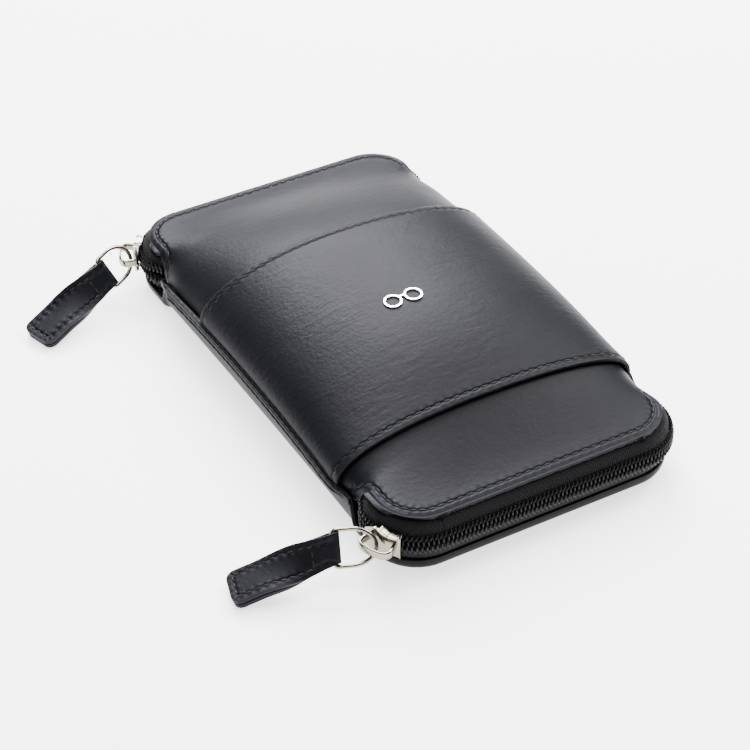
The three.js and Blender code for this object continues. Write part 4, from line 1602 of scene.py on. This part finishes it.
    def build(self) -> None:
        """Builds the pull."""
        self.ring()
        self.tab()
        self.stitches()
        LOG.info("%s pull", self.slider.end.word)


# ---- The studio ------------------------------------------------------------------------


@dataclass(frozen=True)
class Softbox:
    """One large soft light, aimed at the case."""

    name: str
    place: tuple[float, float, float]
    size: float
    power: float
    colour: tuple[float, float, float] = (1.0, 1.0, 1.0)

    def hang(self) -> None:
        """Adds the light."""
        light = bpy.data.lights.new(self.name, "AREA")
        light.shape, light.size = "SQUARE", self.size
        light.energy, light.color = self.power, self.colour
        lamp = bpy.data.objects.new(self.name, light)
        lamp.location = self.place
        aim = Vector((0, 0, 0.02)) - Vector(self.place)
        lamp.rotation_euler = aim.to_track_quat("-Z", "Y").to_euler()
        bpy.context.scene.collection.objects.link(lamp)


@dataclass(frozen=True)
class Studio:
    """The floor, the lights and the camera."""

    camera_place: tuple[float, float, float] = (-0.29399, -0.50037, 0.45521)
    camera_aim: tuple[float, float, float] = (-0.01617, -0.01702, 0.015)
    lens: float = 113.3
    ambient: float = 0.2
    glow: float = 2.0
    lights: tuple[Softbox, ...] = (
        Softbox("Back softbox", (0.35, 0.95, 0.88), 0.8, 68.0, (0.93, 0.93, 1.0)),
        Softbox("Right softbox", (0.9, 0.1, 0.9), 0.6, 26.0),
        Softbox("Top softbox", (-0.15, 0.1, 1.3), 0.9, 28.0, (0.95, 0.94, 1.0)),
    )

    def camera(self) -> None:
        """Sets up the camera."""
        lens = bpy.data.cameras.new("Camera")
        lens.lens, lens.sensor_width = self.lens, 36.0
        lens.clip_start, lens.clip_end = 0.02, 20.0
        camera = bpy.data.objects.new("Camera", lens)
        camera.location = self.camera_place
        aim = Vector(self.camera_aim) - Vector(self.camera_place)
        camera.rotation_euler = aim.to_track_quat("-Z", "Y").to_euler()
        bpy.context.scene.collection.objects.link(camera)
        bpy.context.scene.camera = camera

    def floor(self) -> None:
        """Lays a plain pale floor."""
        clear_selection()
        bpy.ops.mesh.primitive_plane_add(size=12.0)
        floor = bpy.context.object
        floor.name = "floor"
        material, tree, shader = start_material("Floor", Roughness=0.9, Specular_IOR_Level=0.1)
        shader.inputs["Emission Color"].default_value = (1, 1, 1, 1)
        shader.inputs["Emission Strength"].default_value = self.glow
        tone = tree.noise(tree.node("ShaderNodeTexCoord").outputs["Object"], 3.0, 1)
        pale = tree.mix(tone, (0.93, 0.93, 0.93, 1), (0.95, 0.95, 0.95, 1))
        tree.feed(shader.inputs["Base Color"], pale)
        floor.data.materials.append(material)

    def light(self) -> None:
        """Lights the case from behind, the right and above."""
        world = bpy.data.worlds.new("Studio")
        world.use_nodes = True
        world.node_tree.nodes["Background"].inputs["Color"].default_value = (1, 1, 1, 1)
        world.node_tree.nodes["Background"].inputs["Strength"].default_value = self.ambient
        bpy.context.scene.world = world
        for light in self.lights:
            light.hang()

    def build(self) -> None:
        """Builds the studio."""
        self.camera()
        self.floor()
        self.light()


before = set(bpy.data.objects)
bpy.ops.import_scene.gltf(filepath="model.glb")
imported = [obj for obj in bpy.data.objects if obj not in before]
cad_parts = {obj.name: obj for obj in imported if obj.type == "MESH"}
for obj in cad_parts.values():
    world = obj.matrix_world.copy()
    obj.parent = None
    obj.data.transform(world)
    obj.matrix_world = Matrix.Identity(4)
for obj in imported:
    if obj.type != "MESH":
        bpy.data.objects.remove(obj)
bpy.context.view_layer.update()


def main() -> None:
    """Builds the case's looks."""
    logging.basicConfig(level=logging.INFO, format="%(name)s %(message)s")
    Studio().build()
    finishes = Finishes()
    form = CaseForm()
    thread = Thread(finishes.thread)
    cover = TopCover(form, finishes, thread)
    cover.build()
    BottomTray(form, finishes, thread).build()
    pulls = {
        End.FRONT: (7.0, 0.6, (-0.9, 0.44, -0.06), (-0.18, -0.49, -0.85), (-0.956, 0.29)),
        End.BACK: (7.1, 1.0, (-0.87, -0.44, -0.13), (0.3, -0.5, -0.81), (-0.96, -0.28)),
    }
    for end, lay in pulls.items():
        Zip(form, finishes, cover, end).build()
        slider = Slider(form, finishes, end)
        slider.build()
        Pull(slider, finishes, *lay).build()


if __name__ == "__main__":
    main()
